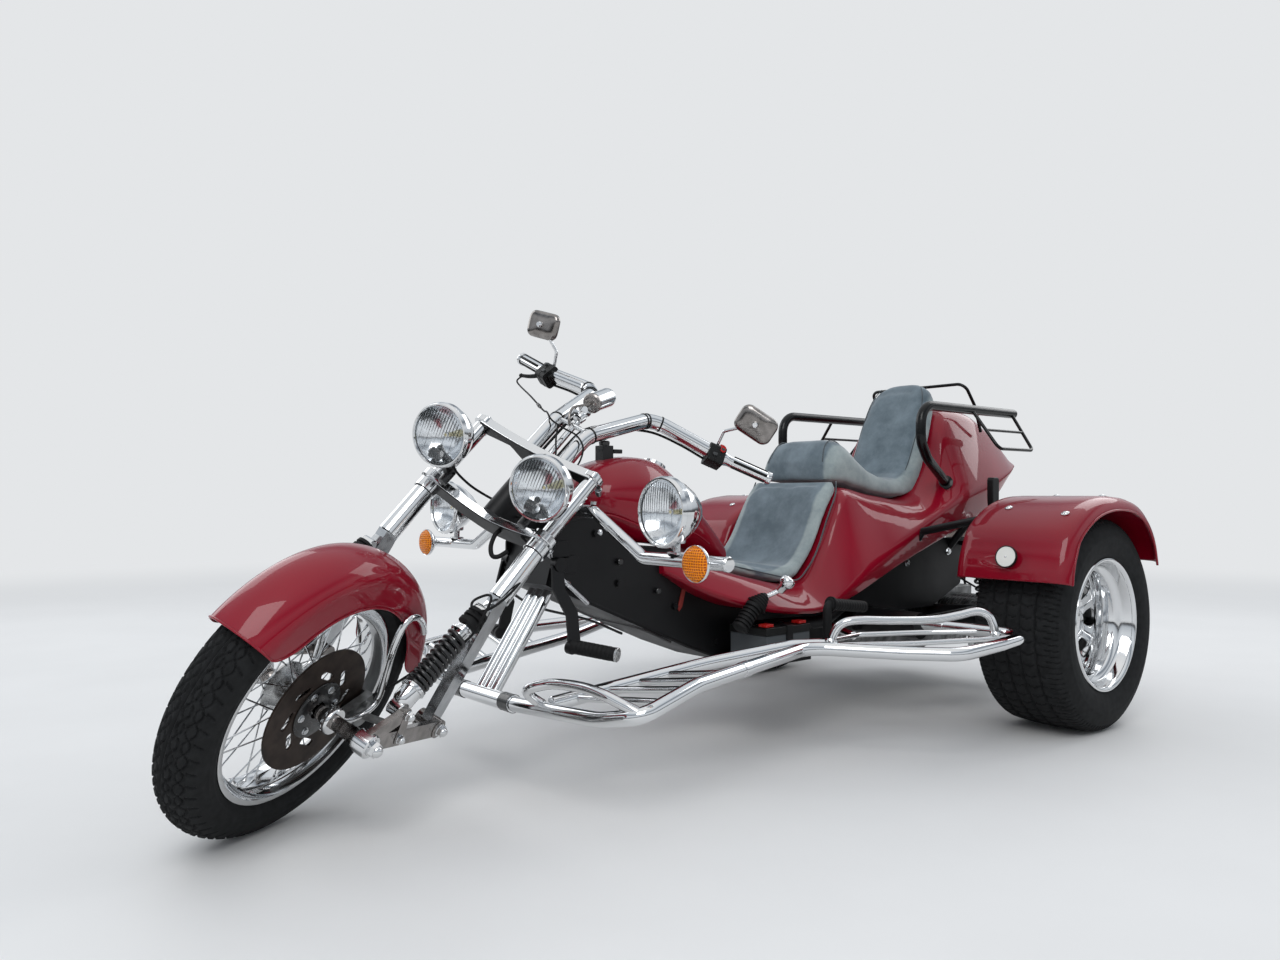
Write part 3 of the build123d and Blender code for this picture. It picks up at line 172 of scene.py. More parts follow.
def rounded_path(corners, bends, step=9):
    """Points along straight runs joined by arcs, one bend radius for each inner corner."""
    corners = [Vector(corner) for corner in corners]
    path = [corners[0]]
    for before, corner, after, bend in zip(corners, corners[1:], corners[2:], bends):
        back, ahead = (before - corner).normalized(), (after - corner).normalized()
        turn = pi - back.angle(ahead)
        if turn < 0.01:
            path.append(corner)
            continue
        centre = corner + (back + ahead).normalized() * bend / cos(turn / 2)
        start, finish = (corner + way * bend * tan(turn / 2) - centre for way in (back, ahead))
        count = max(2, int(degrees(turn) / step) + 1)
        path += [centre + start.slerp(finish, i / count) * bend for i in range(count + 1)]
    return path + [corners[-1]]


def smooth_rows(rows, count):
    """Rows on smooth curves through the given ones, count of them to a stretch."""
    rows = [rows[0] * 2 - rows[1]] + rows + [rows[-1] * 2 - rows[-2]]
    made = []
    for a, b, c, d in zip(rows, rows[1:], rows[2:], rows[3:]):
        for s in [i / count for i in range(count)]:
            made.append(b + 0.5 * s * (c - a + s * (2 * a - 5 * b + 4 * c - d + s * (3 * (b - c) + d - a))))
    return made + [rows[-2]]


def flowing(corners, count=8):
    """Points on a smooth curve through the given ones."""
    return smooth_rows([Vector(corner) for corner in corners], count)


def tube(path, radius, sides=24, edge=1.5):
    """Round tube along a path, its ends eased; radius is one number or one for each point."""
    path = [Vector(point) for point in path]
    last = len(path) - 1
    radii = radius if isinstance(radius, list) else [radius] * len(path)
    side, _ = across(path[1] - path[0])
    rings = []
    for k, point in enumerate(path):
        ahead = (path[min(k + 1, last)] - path[max(k - 1, 0)]).normalized()
        side = (side - ahead * side.dot(ahead)).normalized()
        ring = circle(point, side, ahead.cross(side), radii[k], sides)
        if k in (0, last) and edge:
            inner = [point + (spot - point) * (1 - edge / radii[k]) for spot in ring]
            full = [spot + ahead * (edge if k == 0 else -edge) for spot in ring]
            rings += [inner, full] if k == 0 else [full, inner]
        else:
            rings.append(ring)
    return skinned(rings)


def wire(corners, radius, count=8, sides=10):
    """Tube on a smooth curve."""
    return tube(flowing(corners, count), radius, sides)


def bent(corners, bends, radius, sides=32):
    """Tube of straight runs and arcs."""
    return tube(rounded_path(corners, bends), radius, sides)


def bar(start, finish, radius, sides=24, edge=1.0):
    return tube([start, finish], radius, sides, edge)


def coil(foot, run, radius, wire_radius, turns, per_turn, sides, station):
    """Spring round a run; station(share) says how far along the run each point is."""
    side, other = across(run)
    path = []
    for k in range(turns * per_turn + 1):
        angle = 2 * pi * k / per_turn
        out = (side * cos(angle) + other * sin(angle)) * radius
        path.append(foot + run * station(k / (turns * per_turn)) + out)
    return tube(path, wire_radius, sides)


def slab(outline, low, high, lay):
    """Flat plate: an outline of (u, v) between two depths, laid by lay(u, v, depth)."""
    return skinned([[lay(u, v, depth) for u, v in outline] for depth in (low, high)])


def upright(u, v, depth):
    """Plates seen from the side: outline (y, z), depth along x."""
    return (depth, u, v)


def level(u, v, depth):
    """Plates seen from above: outline (x, y), depth along z."""
    return (u, v, depth)


def facing(u, v, depth):
    """Plates seen from the front: outline (x, z), depth along y."""
    return (u, depth, v)


def brick(low, high):
    outline = [(low[0], low[1]), (high[0], low[1]), (high[0], high[1]), (low[0], high[1])]
    return slab(outline, low[2], high[2], level)


def brick_at(centre, size, axis):
    """Small block about a point, its third side along an axis."""
    axis = Vector(axis).normalized()
    side, other = across(axis)
    u, v, d = (s / 2 for s in size)
    rings = [[Vector(centre) + side * p + other * q + axis * depth for p, q in ((-u, -v), (u, -v), (u, v), (-u, v))]
             for depth in (-d, d)]
    return skinned(rings)


def hexagon(foot, axis, across_flats, height):
    """Bolt head or nut."""
    radius = across_flats * 0.577
    return lathed([(0, radius), (height, radius)], foot, axis, steps=6)


def dome(foot, axis, radius, height, steps=24):
    """Low domed head."""
    rows = [(height * sin(pi / 12 * k), radius * cos(pi / 12 * k)) for k in range(6)]
    return lathed([(0, radius)] + rows + [(height, 0)], foot, axis, steps)


def bolt_heads(places, axis, flats=17, washer=12):
    """Hexagon heads on washers at the given places."""
    made = []
    for place in places:
        made.append(lathed(drum(0, 1.8, washer), place, axis, 28))
        made.append(hexagon(Vector(place) + Vector(axis).normalized() * 1.5, axis, flats, flats * 0.4))
        made.append(lathed([(0, flats * 0.34), (flats * 0.55, flats * 0.34), (flats * 0.55, 0)], place, axis, 16))
    return merged(*made)


def rounded_outline(width, height, corner, steps=6, middle=(0, 0)):
    """Rectangle with round corners, (u, v) points about its middle."""
    points = []
    for cu, cv, first in ((1, 1, 0), (-1, 1, 90), (-1, -1, 180), (1, -1, 270)):
        for k in range(steps + 1):
            angle = radians(first + 90 * k / steps)
            points.append((middle[0] + cu * (width / 2 - corner) + corner * cos(angle),
                           middle[1] + cv * (height / 2 - corner) + corner * sin(angle)))
    return points


def plate(size, middle, low, high, lay):
    """Plate with round corners: size gives its width, its height and the corners' radius."""
    return slab(rounded_outline(*size, middle=middle), low, high, lay)


def link_object(name, data):
    thing = bpy.data.objects.new(name, data)
    bpy.context.scene.collection.objects.link(thing)
    return thing


def modify(thing, name, kind, **settings):
    """A modifier with its settings."""
    modifier = thing.modifiers.new(name, kind)
    for key, value in settings.items():
        setattr(modifier, key, value)
    return modifier


def piece(name, shape, finish, body, *nodes, bevel=0, levels=0, sharp=None):
    """One object of the machine with its finish, riding on a body and standing for the CAD nodes named."""
    mesh = bpy.data.meshes.new(name)
    mesh.from_pydata([PLACES[body](*point) for point in shape[0]], [], shape[1])
    shell = bmesh.new()
    shell.from_mesh(mesh)
    bmesh.ops.recalc_face_normals(shell, faces=shell.faces)
    shell.to_mesh(mesh)
    shell.free()
    mesh.materials.append(finish)
    mesh.shade_smooth()
    thing = link_object(name, mesh)
    angle = radians(sharp or (32 if bevel else 35))
    if levels:
        modify(thing, "smooth", "SUBSURF", levels=levels, render_levels=levels)
    else:
        mesh.set_sharp_from_angle(angle=angle)
    if bevel:
        modify(thing, "edges", "BEVEL", width=bevel * MM, segments=3, limit_method="ANGLE", angle_limit=angle,
               harden_normals=True)
    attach(thing, body)
    if nodes:
        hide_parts(*nodes)
    return thing


def fixed(name, shape, finish, *nodes, **edges):
    return piece(name, shape, finish, "chassis", *nodes, **edges)


def steered(name, shape, finish, *nodes, **edges):
    return piece(name, shape, finish, "steering", *nodes, **edges)


def thicken(thing, thickness):
    """Give a skin its sheet thickness, millimetres."""
    modify(thing, "sheet", "SOLIDIFY", thickness=thickness * MM, offset=-1, use_even_offset=False)


# Materials
def colour(code):
    """Linear colour from an sRGB hex code."""
    parts = [int(code[k:k + 2], 16) / 255 for k in (1, 3, 5)]
    return tuple(c / 12.92 if c <= 0.04045 else ((c + 0.055) / 1.055) ** 2.4 for c in parts) + (1.0,)


def add(tree, kind, inputs=None, links=None, **settings):
    """One node with its settings, its input values and its links from other nodes' sockets."""
    node = tree.nodes.new(kind)
    for key, value in settings.items():
        setattr(node, key, value)
    for key, value in (inputs or {}).items():
        node.inputs[key].default_value = value
    for key, socket in (links or {}).items():
        tree.links.new(socket, node.inputs[key])
    return node


def position(tree):
    return add(tree, "ShaderNodeTexCoord").outputs["Object"]


def grain(tree, size, detail=4.0, roughness=0.55):
    """Noise whose lumps are about size millimetres across."""
    return add(tree, "ShaderNodeTexNoise", {"Scale": 1 / (size * MM), "Detail": detail, "Roughness": roughness},
               {"Vector": position(tree)}).outputs["Fac"]


def cells(tree, size):
    """Distance from the middles of cells about size millimetres across."""
    return add(tree, "ShaderNodeTexVoronoi", {"Scale": 1 / (size * MM)}, {"Vector": position(tree)}).outputs["Distance"]


def ramp(tree, socket, *stops):
    """Colour ramp through (place, hex colour) stops."""
    node = add(tree, "ShaderNodeValToRGB", links={"Fac": socket})
    elements = node.color_ramp.elements
    while len(elements) < len(stops):
        elements.new(0.5)
    for element, (place, code) in zip(elements, stops):
        element.position, element.color = place, colour(code)
    return node.outputs["Color"]


def spread(tree, socket, low, high):
    """A noise value stretched to a range."""
    return add(tree, "ShaderNodeMapRange", {"From Min": 0.3, "From Max": 0.7, "To Min": low, "To Max": high},
               {"Value": socket}).outputs["Result"]


def calc(tree, operation, *values):
    """Arithmetic node; each value is a number or another node's socket."""
    node = add(tree, "ShaderNodeMath", operation=operation)
    for target, value in zip(node.inputs, values):
        if isinstance(value, (int, float)):
            target.default_value = value
        else:
            tree.links.new(value, target)
    return node.outputs[0]


def bumped(tree, socket, depth, strength):
    """Bump of the given depth in millimetres."""
    node = add(tree, "ShaderNodeBump", {"Strength": strength, "Distance": depth * MM}, {"Height": socket})
    tree.links.new(node.outputs["Normal"], tree.nodes["Principled BSDF"].inputs["Normal"])


def surface(name, slot, base, roughness, metallic=0.0, coat=0.0, ior=1.45, specular=0.5, tones=None, wear=None,
            relief=None, pits=None, alpha=None, **more):
    """A material with the given name; its slot, the record's slot that it shows, is not used. Lumps of noise vary its
    colour, tones = (mm, detail, stops), its roughness, wear = (mm, detail, low, high), its bump, relief = (mm, detail,
    depth, strength), and how see-through it is, alpha = (low, high). Cells give pits = (mm, depth, strength). A metal
    keeps the default IOR."""
    material = bpy.data.materials.new(name)
    material.use_nodes = True
    tree = material.node_tree
    inputs = tree.nodes["Principled BSDF"].inputs
    values = {"Base Color": colour(base), "Metallic": metallic, "Roughness": roughness, "Coat Weight": coat,
              "Specular IOR Level": specular}
    if not metallic:
        values["IOR"] = ior
    values.update({key.replace("_", " "): value for key, value in more.items()})
    for key, value in values.items():
        inputs[key].default_value = value
    if tones:
        tree.links.new(ramp(tree, grain(tree, *tones[:2]), *tones[2:]), inputs["Base Color"])
    if wear:
        tree.links.new(spread(tree, grain(tree, *wear[:2]), *wear[2:]), inputs["Roughness"])
    if relief:
        bumped(tree, grain(tree, *relief[:2]), *relief[2:])
    if pits:
        bumped(tree, cells(tree, pits[0]), *pits[1:])
    if alpha:
        tree.links.new(spread(tree, grain(tree, 40, 2.0), *alpha), inputs["Alpha"])
    return material


# Pigmented gelcoat over hand-laid glass fibre, polished: deep cherry with a wet gloss that ripples a little
cherry = surface("cherry_gelcoat", "red_gloss", "#7A041E", 0.4, coat=0.65, ior=1.5, specular=0.1,
                 tones=(420, 2.0, (0.3, "#7C0019"), (0.7, "#8B021F")), relief=(90, 2.0, 0.35, 0.25))
# Decorative chrome over nickel: mirror bright, with faint wipe marks that only change its roughness
chrome = surface("chrome_plate", "chrome", "#DCDDDE", 0.07, 1.0, wear=(60, 6.0, 0.045, 0.12))
# Chrome given a darker brown-grey base: painted dark reflections, standing in for a dark ground that the pale floor
# does not mirror
chrome_painted_dark = surface("chrome_with_painted_dark_reflections", "chrome", "#8E8A87", 0.14, 1.0, wear=(30, 6.0, 0.08, 0.24),
                      tones=(30, 6.0, (0.35, "#7C7875"), (0.65, "#9A9592")))
# The same plating where road film dulls it: wheels and lower fork
road_chrome = surface("chrome_with_road_film", "chrome", "#C9CBCD", 0.12, 1.0, wear=(35, 7.0, 0.08, 0.24),
                      tones=(35, 7.0, (0.35, "#BDBFC1"), (0.65, "#D3D5D7")))
# Polyester powder coat on steel: jet black satin with the fine orange peel of powder, drawn at 1.5 mm to show
powder = surface("black_powder_coat", "black_coat", "#08080A", 0.4, ior=1.5, specular=0.3,
                 relief=(1.5, 2.0, 0.06, 0.4), wear=(120, 5.0, 0.34, 0.5))
# Stove enamel on the armrests and rack: black and nearly wet
enamel = surface("black_enamel", "black_coat", "#08090A", 0.26, coat=0.2, ior=1.5, specular=0.2,
                 relief=(6, 2.0, 0.08, 0.25))
# Vulcanised tread compound, worn on the road: charcoal, matt, dusted grey in the hollows
rubber = surface("tyre_rubber", "tyre", "#1B1C1D", 0.8, specular=0.3,
                 tones=(22, 6.0, (0.32, "#111213"), (0.72, "#1F2021")), relief=(1.6, 4.0, 0.12, 0.5))
# Moulded pedal and grip rubber: black, dry, with the mould's fine pebble
grip_rubber = surface("moulded_rubber", "black_rubber", "#111112", 0.66, specular=0.3, pits=(2.2, 0.15, 0.5))
# Injection moulded ABS: black with a spark-eroded texture
plastic = surface("black_abs", "black_plastic", "#0E0F0F", 0.45, specular=0.35, relief=(1.2, 3.0, 0.05, 0.5))
# Sand cast aluminium: grey, dull, with the sand's grain and oil-dark patches
casting = surface("sand_cast_aluminium", "cast_alloy", "#8B8C8C", 0.5, 0.9,
                  tones=(45, 6.0, (0.3, "#5C5C5B"), (0.7, "#9C9D9D")), relief=(1.8, 4.0, 0.2, 0.6))
# Polished aluminium of the hub and the pedals' ends: soft mirror, slightly warm
alloy = surface("polished_aluminium", "cast_alloy", "#BFC0C0", 0.22, 1.0, wear=(9, 5.0, 0.16, 0.34))
# Cast steel brake disc: brown-grey from heat
disc_steel = surface("heat_stained_steel", "disc_steel", "#3A302B", 0.5, 0.8,
                     tones=(40, 5.0, (0.3, "#2A221E"), (0.7, "#453A34")))
# Pressed lamp glass: clear between its flutes, with a little milkiness of its own
lamp_glass = surface("pressed_lamp_glass", "chrome", "#B9C2C6", 0.04, coat=0.1, ior=1.5, alpha=(0.07, 0.12))
# Vacuum-metallised reflector bowl: brighter and bluer than chrome
reflector = surface("metallised_bowl", "chrome", "#EEF1F4", 0.16, 1.0, pits=(16, 1.2, 0.35))
# Painted shade: dark, half see-through strips over the glass, for the shaded side of its pressed flutes and the darker
# upper half of the lamp
painted_flute_shade = surface("lamp_glass_painted_shade_lines", "chrome", "#1E2122", 0.2, ior=1.5, alpha=(0.6, 0.8))
# Bulb envelope with a yellow tint
bulb_glass = surface("yellow_bulb_glass", "chrome", "#E8D080", 0.1, coat=0.5,
                     tones=(20, 2.0, (0.3, "#CDBF86"), (0.7, "#E6DFB6")))
# Silvered mirror glass
mirror_glass = surface("silvered_glass", "chrome", "#E8ECEE", 0.02, 1.0, wear=(70, 4.0, 0.015, 0.05))
# Blank reflective sheet on aluminium: warm white with a glass-bead grain
plate_sheet = surface("blank_plate_sheet", "plate_white", "#DEDCD2", 0.4, coat=0.3, relief=(1.0, 2.0, 0.04, 0.3))
# White prismatic reflector disc
white_disc = surface("white_reflector", "plate_white", "#E4E4DE", 0.25, coat=0.7, pits=(3, 0.3, 0.5))
# Spring steel in thick black plastic dip: darker and smoother than the powder coat
spring_black = surface("dipped_spring_steel", "black_coat", "#0B0B0D", 0.2, coat=0.5, wear=(14, 5.0, 0.22, 0.45))
# Moulded switch caps, red and grey, a dull red-brown tab on the frame and the battery's polypropylene case
red_cap = surface("red_switch_cap", "black_plastic", "#B01A16", 0.3, relief=(1.0, 2.0, 0.03, 0.4))
grey_cap = surface("grey_switch_caps", "black_plastic", "#3A3C3D", 0.4, relief=(1.1, 2.0, 0.04, 0.4))
tab_plastic = surface("red_brown_tab", "black_plastic", "#7A2620", 0.55, relief=(1.2, 2.0, 0.04, 0.4))
battery_grey = surface("battery_polypropylene", "black_plastic", "#45494C", 0.45, relief=(1.4, 2.0, 0.05, 0.4))

# Amber acrylic lens moulded with a grid of small prisms, 6 mm apart
amber = surface("amber_acrylic", "amber_lens", "#E87A06", 0.25, coat=0.12, ior=1.49, specular=0.25,
                Subsurface_Weight=0.1, Subsurface_Scale=0.01)
tree = amber.node_tree
split = add(tree, "ShaderNodeSeparateXYZ", links={"Vector": position(tree)})
prisms = calc(tree, "MAXIMUM", *[calc(tree, "SINE", calc(tree, "MULTIPLY", split.outputs[axis], 2 * pi / (6 * MM)))
                                 for axis in "XZ"])
bumped(tree, prisms, 1.2, 0.9)
# Painted shade and highlight: the colour follows the prisms' height, darker orange in their hollows and brighter on
# their crests
tree.links.new(ramp(tree, prisms, (0.2, "#B85400"), (0.9, "#FF9608")),
               tree.nodes["Principled BSDF"].inputs["Base Color"])

# Red acrylic rear lamp lens with concentric ribs
red_lens = surface("red_acrylic", "amber_lens", "#8E0B0C", 0.14, coat=0.6, ior=1.49)
tree = red_lens.node_tree
ribs = add(tree, "ShaderNodeTexWave", {"Scale": 60.0}, {"Vector": position(tree)}, wave_type="RINGS")
bumped(tree, ribs.outputs["Fac"], 0.5, 0.5)


def suede(name, base, sheen):
    """Microfibre suede: a soft sheen over a short pile."""
    material = surface(name, "seat_cloth", base, 0.9, Sheen_Weight=sheen, Sheen_Roughness=0.45)
    bumped(material.node_tree, grain(material.node_tree, 1.4, 5.0, 0.7), 0.25, 0.6)
    return material


def suede_patches(tree, detail, dark, light):
    """The nap lies two ways, which gives soft patches a hand wide."""
    return ramp(tree, grain(tree, 85, detail, 0.65), (0.34, dark), (0.68, light))


piping = suede("suede_piping", "#4A5256", 0.45)
piping.node_tree.links.new(suede_patches(piping.node_tree, 5.0, "#3C4448", "#4A5256"),
                           piping.node_tree.nodes["Principled BSDF"].inputs["Base Color"])


def suede_cover(name, edge, front=None):
    """Suede in two greys: darker within edge metres of the middle, lighter on the border and ahead of front."""
    material = suede(name, "#7F8A8D", 0.4)
    tree = material.node_tree
    split = add(tree, "ShaderNodeSeparateXYZ", links={"Vector": position(tree)})
    wobble = calc(tree, "MULTIPLY_ADD", grain(tree, 60, 3.0), 0.012, calc(tree, "ABSOLUTE", split.outputs["X"]))
    border = add(tree, "ShaderNodeMapRange", {"From Min": edge - 0.001, "From Max": edge + 0.012}, {"Value": wobble},
                 interpolation_type="SMOOTHSTEP").outputs["Result"]
    if front is not None:
        ahead = add(tree, "ShaderNodeMapRange", {"From Min": front + 0.012, "From Max": front},
                    {"Value": split.outputs["Y"]}, interpolation_type="SMOOTHSTEP")
        border = calc(tree, "MAXIMUM", border, ahead.outputs["Result"])
    worn, clean = (suede_patches(tree, 6.0, *pair) for pair in (("#54626A", "#74828A"), ("#7F8B8D", "#A3ADAC")))
    mix = add(tree, "ShaderNodeMix", data_type="RGBA", links={0: border, 6: worn, 7: clean})
    tree.links.new(mix.outputs[2], tree.nodes["Principled BSDF"].inputs["Base Color"])
    return material


# Shared curves
def arc3(a, b, c, count):
    """Points along the circle through three points of a plane."""
    (ax, ay), (bx, by), (cx, cy) = a, b, c
    base = 2 * (ax * (by - cy) + bx * (cy - ay) + cx * (ay - by))
    squares = ax * ax + ay * ay, bx * bx + by * by, cx * cx + cy * cy
    mx = (squares[0] * (by - cy) + squares[1] * (cy - ay) + squares[2] * (ay - by)) / base
    my = (squares[0] * (cx - bx) + squares[1] * (ax - cx) + squares[2] * (bx - ax)) / base
    radius = sqrt((ax - mx) ** 2 + (ay - my) ** 2)
    angles = [atan2(y - my, x - mx) for x, y in (a, b, c)]
    turn = sum((angles[k + 1] - angles[k] + pi) % (2 * pi) - pi for k in range(2))
    steps = [angles[0] + turn * k / count for k in range(count + 1)]
    return [(mx + radius * cos(t), my + radius * sin(t)) for t in steps]


def rounded_section(corners, radii, steps):
    """Open polygon with its inner corners rounded, as many points at each."""
    corners = [Vector(corner) for corner in corners]
    points = [corners[0]]
    for before, corner, after, radius in zip(corners, corners[1:], corners[2:], radii):
        reach = min(radius, (before - corner).length * 0.48, (after - corner).length * 0.48)
        start = corner + (before - corner).normalized() * reach
        finish = corner + (after - corner).normalized() * reach
        points += [start * (1 - s) ** 2 + corner * 2 * s * (1 - s) + finish * s ** 2
                   for s in (i / steps for i in range(steps + 1))]
    return points + [corners[-1]]


def hull(stations, radii, count):
    """Smooth symmetric skin through stations (y, [(x, z) up one side]), its edges rounded by radii."""
    rows = [np.array([(p.x, y, p.y) for p in rounded_section(side, radii, count)]) for y, side in stations]
    return skinned([[*row, *(row[::-1] * (-1, 1, 1))] for row in smooth_rows(rows, count)])


# Tyres
FRONT_TYRE_R = 336
REAR_TYRE_R = 338
REAR_HALF = 147.5


def cut(distance, half_width, depth):
    """Depth of a groove at a distance from its middle, with sloping walls."""
    return depth * np.clip((half_width + 1.6 - np.abs(distance)) / 1.6, 0, 1)


def wave(share):
    """Distance to the nearest whole number, signed."""
    return share - np.round(share)


def tyre(bead, wall, crown, spacing, steps, carve):
    """Ring drawn from bead to bead through (x, radius) points; carve(u, share) gives the tread's depth."""
    outline = [bead] + wall + crown[1:-1] + [(-x, r) for x, r in reversed(wall)] + [(-bead[0], bead[1])]
    corners = np.array(outline, float)
    walked = np.concatenate([[0], np.cumsum(np.linalg.norm(np.diff(corners, axis=0), axis=1))])
    count = int(walked[-1] / spacing)
    row = np.arange(count + 1)
    spots = walked[-1] * row / count
    p = np.stack([np.interp(spots, walked, corners[:, k]) for k in (0, 1)], axis=1)
    run = p[np.minimum(row + 1, count)] - p[np.maximum(row - 1, 0)]
    n = np.stack([-run[:, 1], run[:, 0]], axis=1) / np.linalg.norm(run, axis=1)[:, None]
    n *= np.sign(n[count // 2, 1])
    angles = np.arange(steps) * 2 * pi / steps
    depth = carve((spots - walked[-1] / 2)[:, None], angles[None, :] / (2 * pi))
    x, r = (p[:, k:k + 1] - n[:, k:k + 1] * depth for k in (0, 1))
    grid = np.stack([x, r * np.cos(angles), r * np.sin(angles)], axis=2)
    faces = []
    for i in range(count + 1):
        j = (i + 1) % (count + 1)
        for k in range(steps):
            m = (k + 1) % steps
            faces.append((i * steps + k, i * steps + m, j * steps + m, j * steps + k))
    return [tuple(point) for point in grid.reshape(-1, 3)], faces


def carve_front(u, share):
    """Straight middle groove, two rows of chained ovals on each side and short cuts on the shoulder."""
    side = np.abs(u)
    depth = cut(u, 2.0, 5.0) + 0 * share
    for middle, reach, offset in ((16, 8, 0.0), (39, 10, 0.5)):
        swing = reach * np.sin(pi * (share * 30 + offset)) ** 2 * 2 - reach
        for way in (-1, 1):
            depth = np.maximum(depth, cut(side - middle - way * (swing + reach * 0.15), 1.5, 4.5))
    notch = cut(wave(share * 60 + side / 70) * 34, 1.6, 3.5) * (side > 52) * (side < 72)
    rings = 0.8 * ((np.abs(side - 96) < 3) | (np.abs(side - 112) < 2))
    return np.maximum(depth, notch) - rings


def carve_rear(u, share):
    """Four straight grooves, zigzag cuts across the ribs, dense cuts on the shoulders, rings on the walls."""
    side = np.abs(u)
    swing = 3 * np.abs(2 * wave(share * 44))
    fold = 10 * np.abs(2 * wave(u / 46))
    rib = cut(wave(share * 58 + fold / 36) * 36, 1.2, 5.0) * (side < 92)
    edge = cut(wave(share * 116 + u / 120) * 18, 1.4, 4.5) * (side > 96) * (side < 142)
    grooves = [cut(side - middle - swing, 3.0, 7.0) for middle in (20, 68)]
    rings = 0.9 * ((np.abs(side - 182) < 3) | (np.abs(side - 232) < 2.2) | (np.abs(side - 240) < 1.6))
    return np.maximum.reduce([*grooves, rib, edge]) - rings


def front_tyre():
    wall = arc3((40, 240), (56, 258), (60, 276), 8)
    crown = arc3((60, 276), (0, FRONT_TYRE_R), (-60, 276), 40)
    shape = tyre((40, 232), wall, crown, 2.9, 600, carve_front)
    piece("front_tyre_treaded", shape, rubber, "front_wheel", "front_tyre")


def rear_tyres():
    wall = arc3((130, 208), (REAR_HALF, 262), (130, 318), 14) + arc3((130, 318), (122, 328), (108, 332), 4)[1:]
    crown = arc3((108, 332), (0, REAR_TYRE_R), (-108, 332), 30)
    shape = tyre((128, 194), wall, crown, 4.6, 520, carve_rear)
    for side in ("left", "right"):
        piece(f"rear_tyre_{side}_treaded", shape, rubber, f"rear_wheel_{side}", f"rear_tyre_{side}")


# Front wheel
HUB_END = 58
SPOKE_PAIRS = 18


def front_wheel():
    def part(name, shape, finish, *nodes, **edges):
        piece(name, shape, finish, "front_wheel", *nodes, **edges)

    outer = [(45, 240), (45.5, 236), (44, 229), (24, 223.5), (16, 214)]
    inner = [(42, 241.5), (40, 239), (39, 231), (22, 228), (14, 219)]
    hoop = [(-x, r) for x, r in outer] + [(0, 212.5)] + outer[::-1] + inner + [(-x, r) for x, r in inner[::-1]]
    part("front_rim_hoop", lathed(hoop + [(-45, 240)], steps=160), chrome, "front_rim", sharp=40)
    nipples, spokes = [], []
    for number in range(SPOKE_PAIRS):
        side = 1 if number % 2 else -1
        for lean in (-1, 1):
            hub_angle, rim_angle = (radians(number * 360 / SPOKE_PAIRS + lean * turn) for turn in (38, 4))
            start = Vector((side * (HUB_END - 17) + lean * 2, 55 * cos(hub_angle), 55 * sin(hub_angle)))
            finish = Vector((side * 7, 216 * cos(rim_angle), 216 * sin(rim_angle)))
            run = (finish - start).normalized()
            spokes += [bar(start, finish - run * 8, 1.8, sides=8, edge=0), dome(start, (-side, 0, 0), 4, 3, steps=10)]
            nipples += [bar(finish - run * 14, finish, 3.2, sides=8, edge=0.5),
                        lathed([(0, 0), (0, 5.5), (3, 4.2), (4, 0)], finish, -run, steps=12)]
    part("front_spokes", merged(*spokes), road_chrome, "front_rim", sharp=30)
    part("front_spoke_nipples", merged(*nipples), chrome, "front_rim", sharp=30)
    hub = [(-58, 10.2), (-58, 30), (-55, 34), (-46, 34), (-45, 57), (-43, 60), (-39, 60), (-37, 58), (-28, 50),
           (-10, 38), (-2, 30), (12, 28), (24, 32), (32, 46), (37, 57), (39, 60), (43, 60), (45, 57),
           (46, 34), (55, 34), (58, 30), (58, 10.2), (-58, 10.2)]
    part("front_hub", lathed(hub, steps=72), alloy, "front_rim", sharp=40)
    bolts = []
    for e, t in around(6, 50, 12):
        foot = (HUB_END + 8, e, t)
        bolts += [hexagon(foot, X, 13, 5), lathed(drum(0, 1.5, 9), foot, X, 20)]
    part("disc_bolts", merged(*bolts), road_chrome, bevel=0.5)
    carrier = [(63.2, 20), (63.2, 66), (65, 67), (66.4, 64), (66.4, 20), (63.2, 20)]
    part("disc_carrier", lathed(carrier), spring_black)


# Rear wheels
def rear_wheels():
    lip = [(136, 208), (137.5, 204), (136, 200), (130, 196), (120, 190), (102, 186), (96, 183), (92, 178), (88, 168),
           (80, 164), (72, 163), (66, 159), (20, 158.5), (-46, 158.5), (-66, 180), (-136, 190), (-136, 208),
           (-130, 208), (-128, 194), (-108, 194), (-60, 188), (-40, 168), (60, 168), (84, 188), (108, 194),
           (128, 194), (130, 208), (133, 210), (136, 208)]
    centre = [(-20, 0), (-20, 62), (-8, 66), (2, 60), (10, 50), (26, 46), (36, 44), (42, 38), (45, 28), (47, 0)]
    nuts = []
    for y, z in around(5, 54, 18):
        nuts += [hexagon((8, y, z), X, 19, 14), dome((22, y, z), X, 9.5, 7, 16)]
    shapes = {"barrel": lathed(lip, steps=180), "dish": pierced_dish(), "cap": lathed(centre, steps=72),
              "nuts": merged(*nuts)}
    edges = {"barrel": {"sharp": 50}, "dish": {"sharp": 40}, "cap": {}, "nuts": {"bevel": 0.8}}
    for side, turn in SIDES:
        for key, shape in shapes.items():
            made = piece(f"rear_rim_{side}_{key}", turn(shape), chrome, f"rear_wheel_{side}", f"rear_rim_{side}",
                         **edges[key])
            if key == "dish":
                thicken(made, 6)


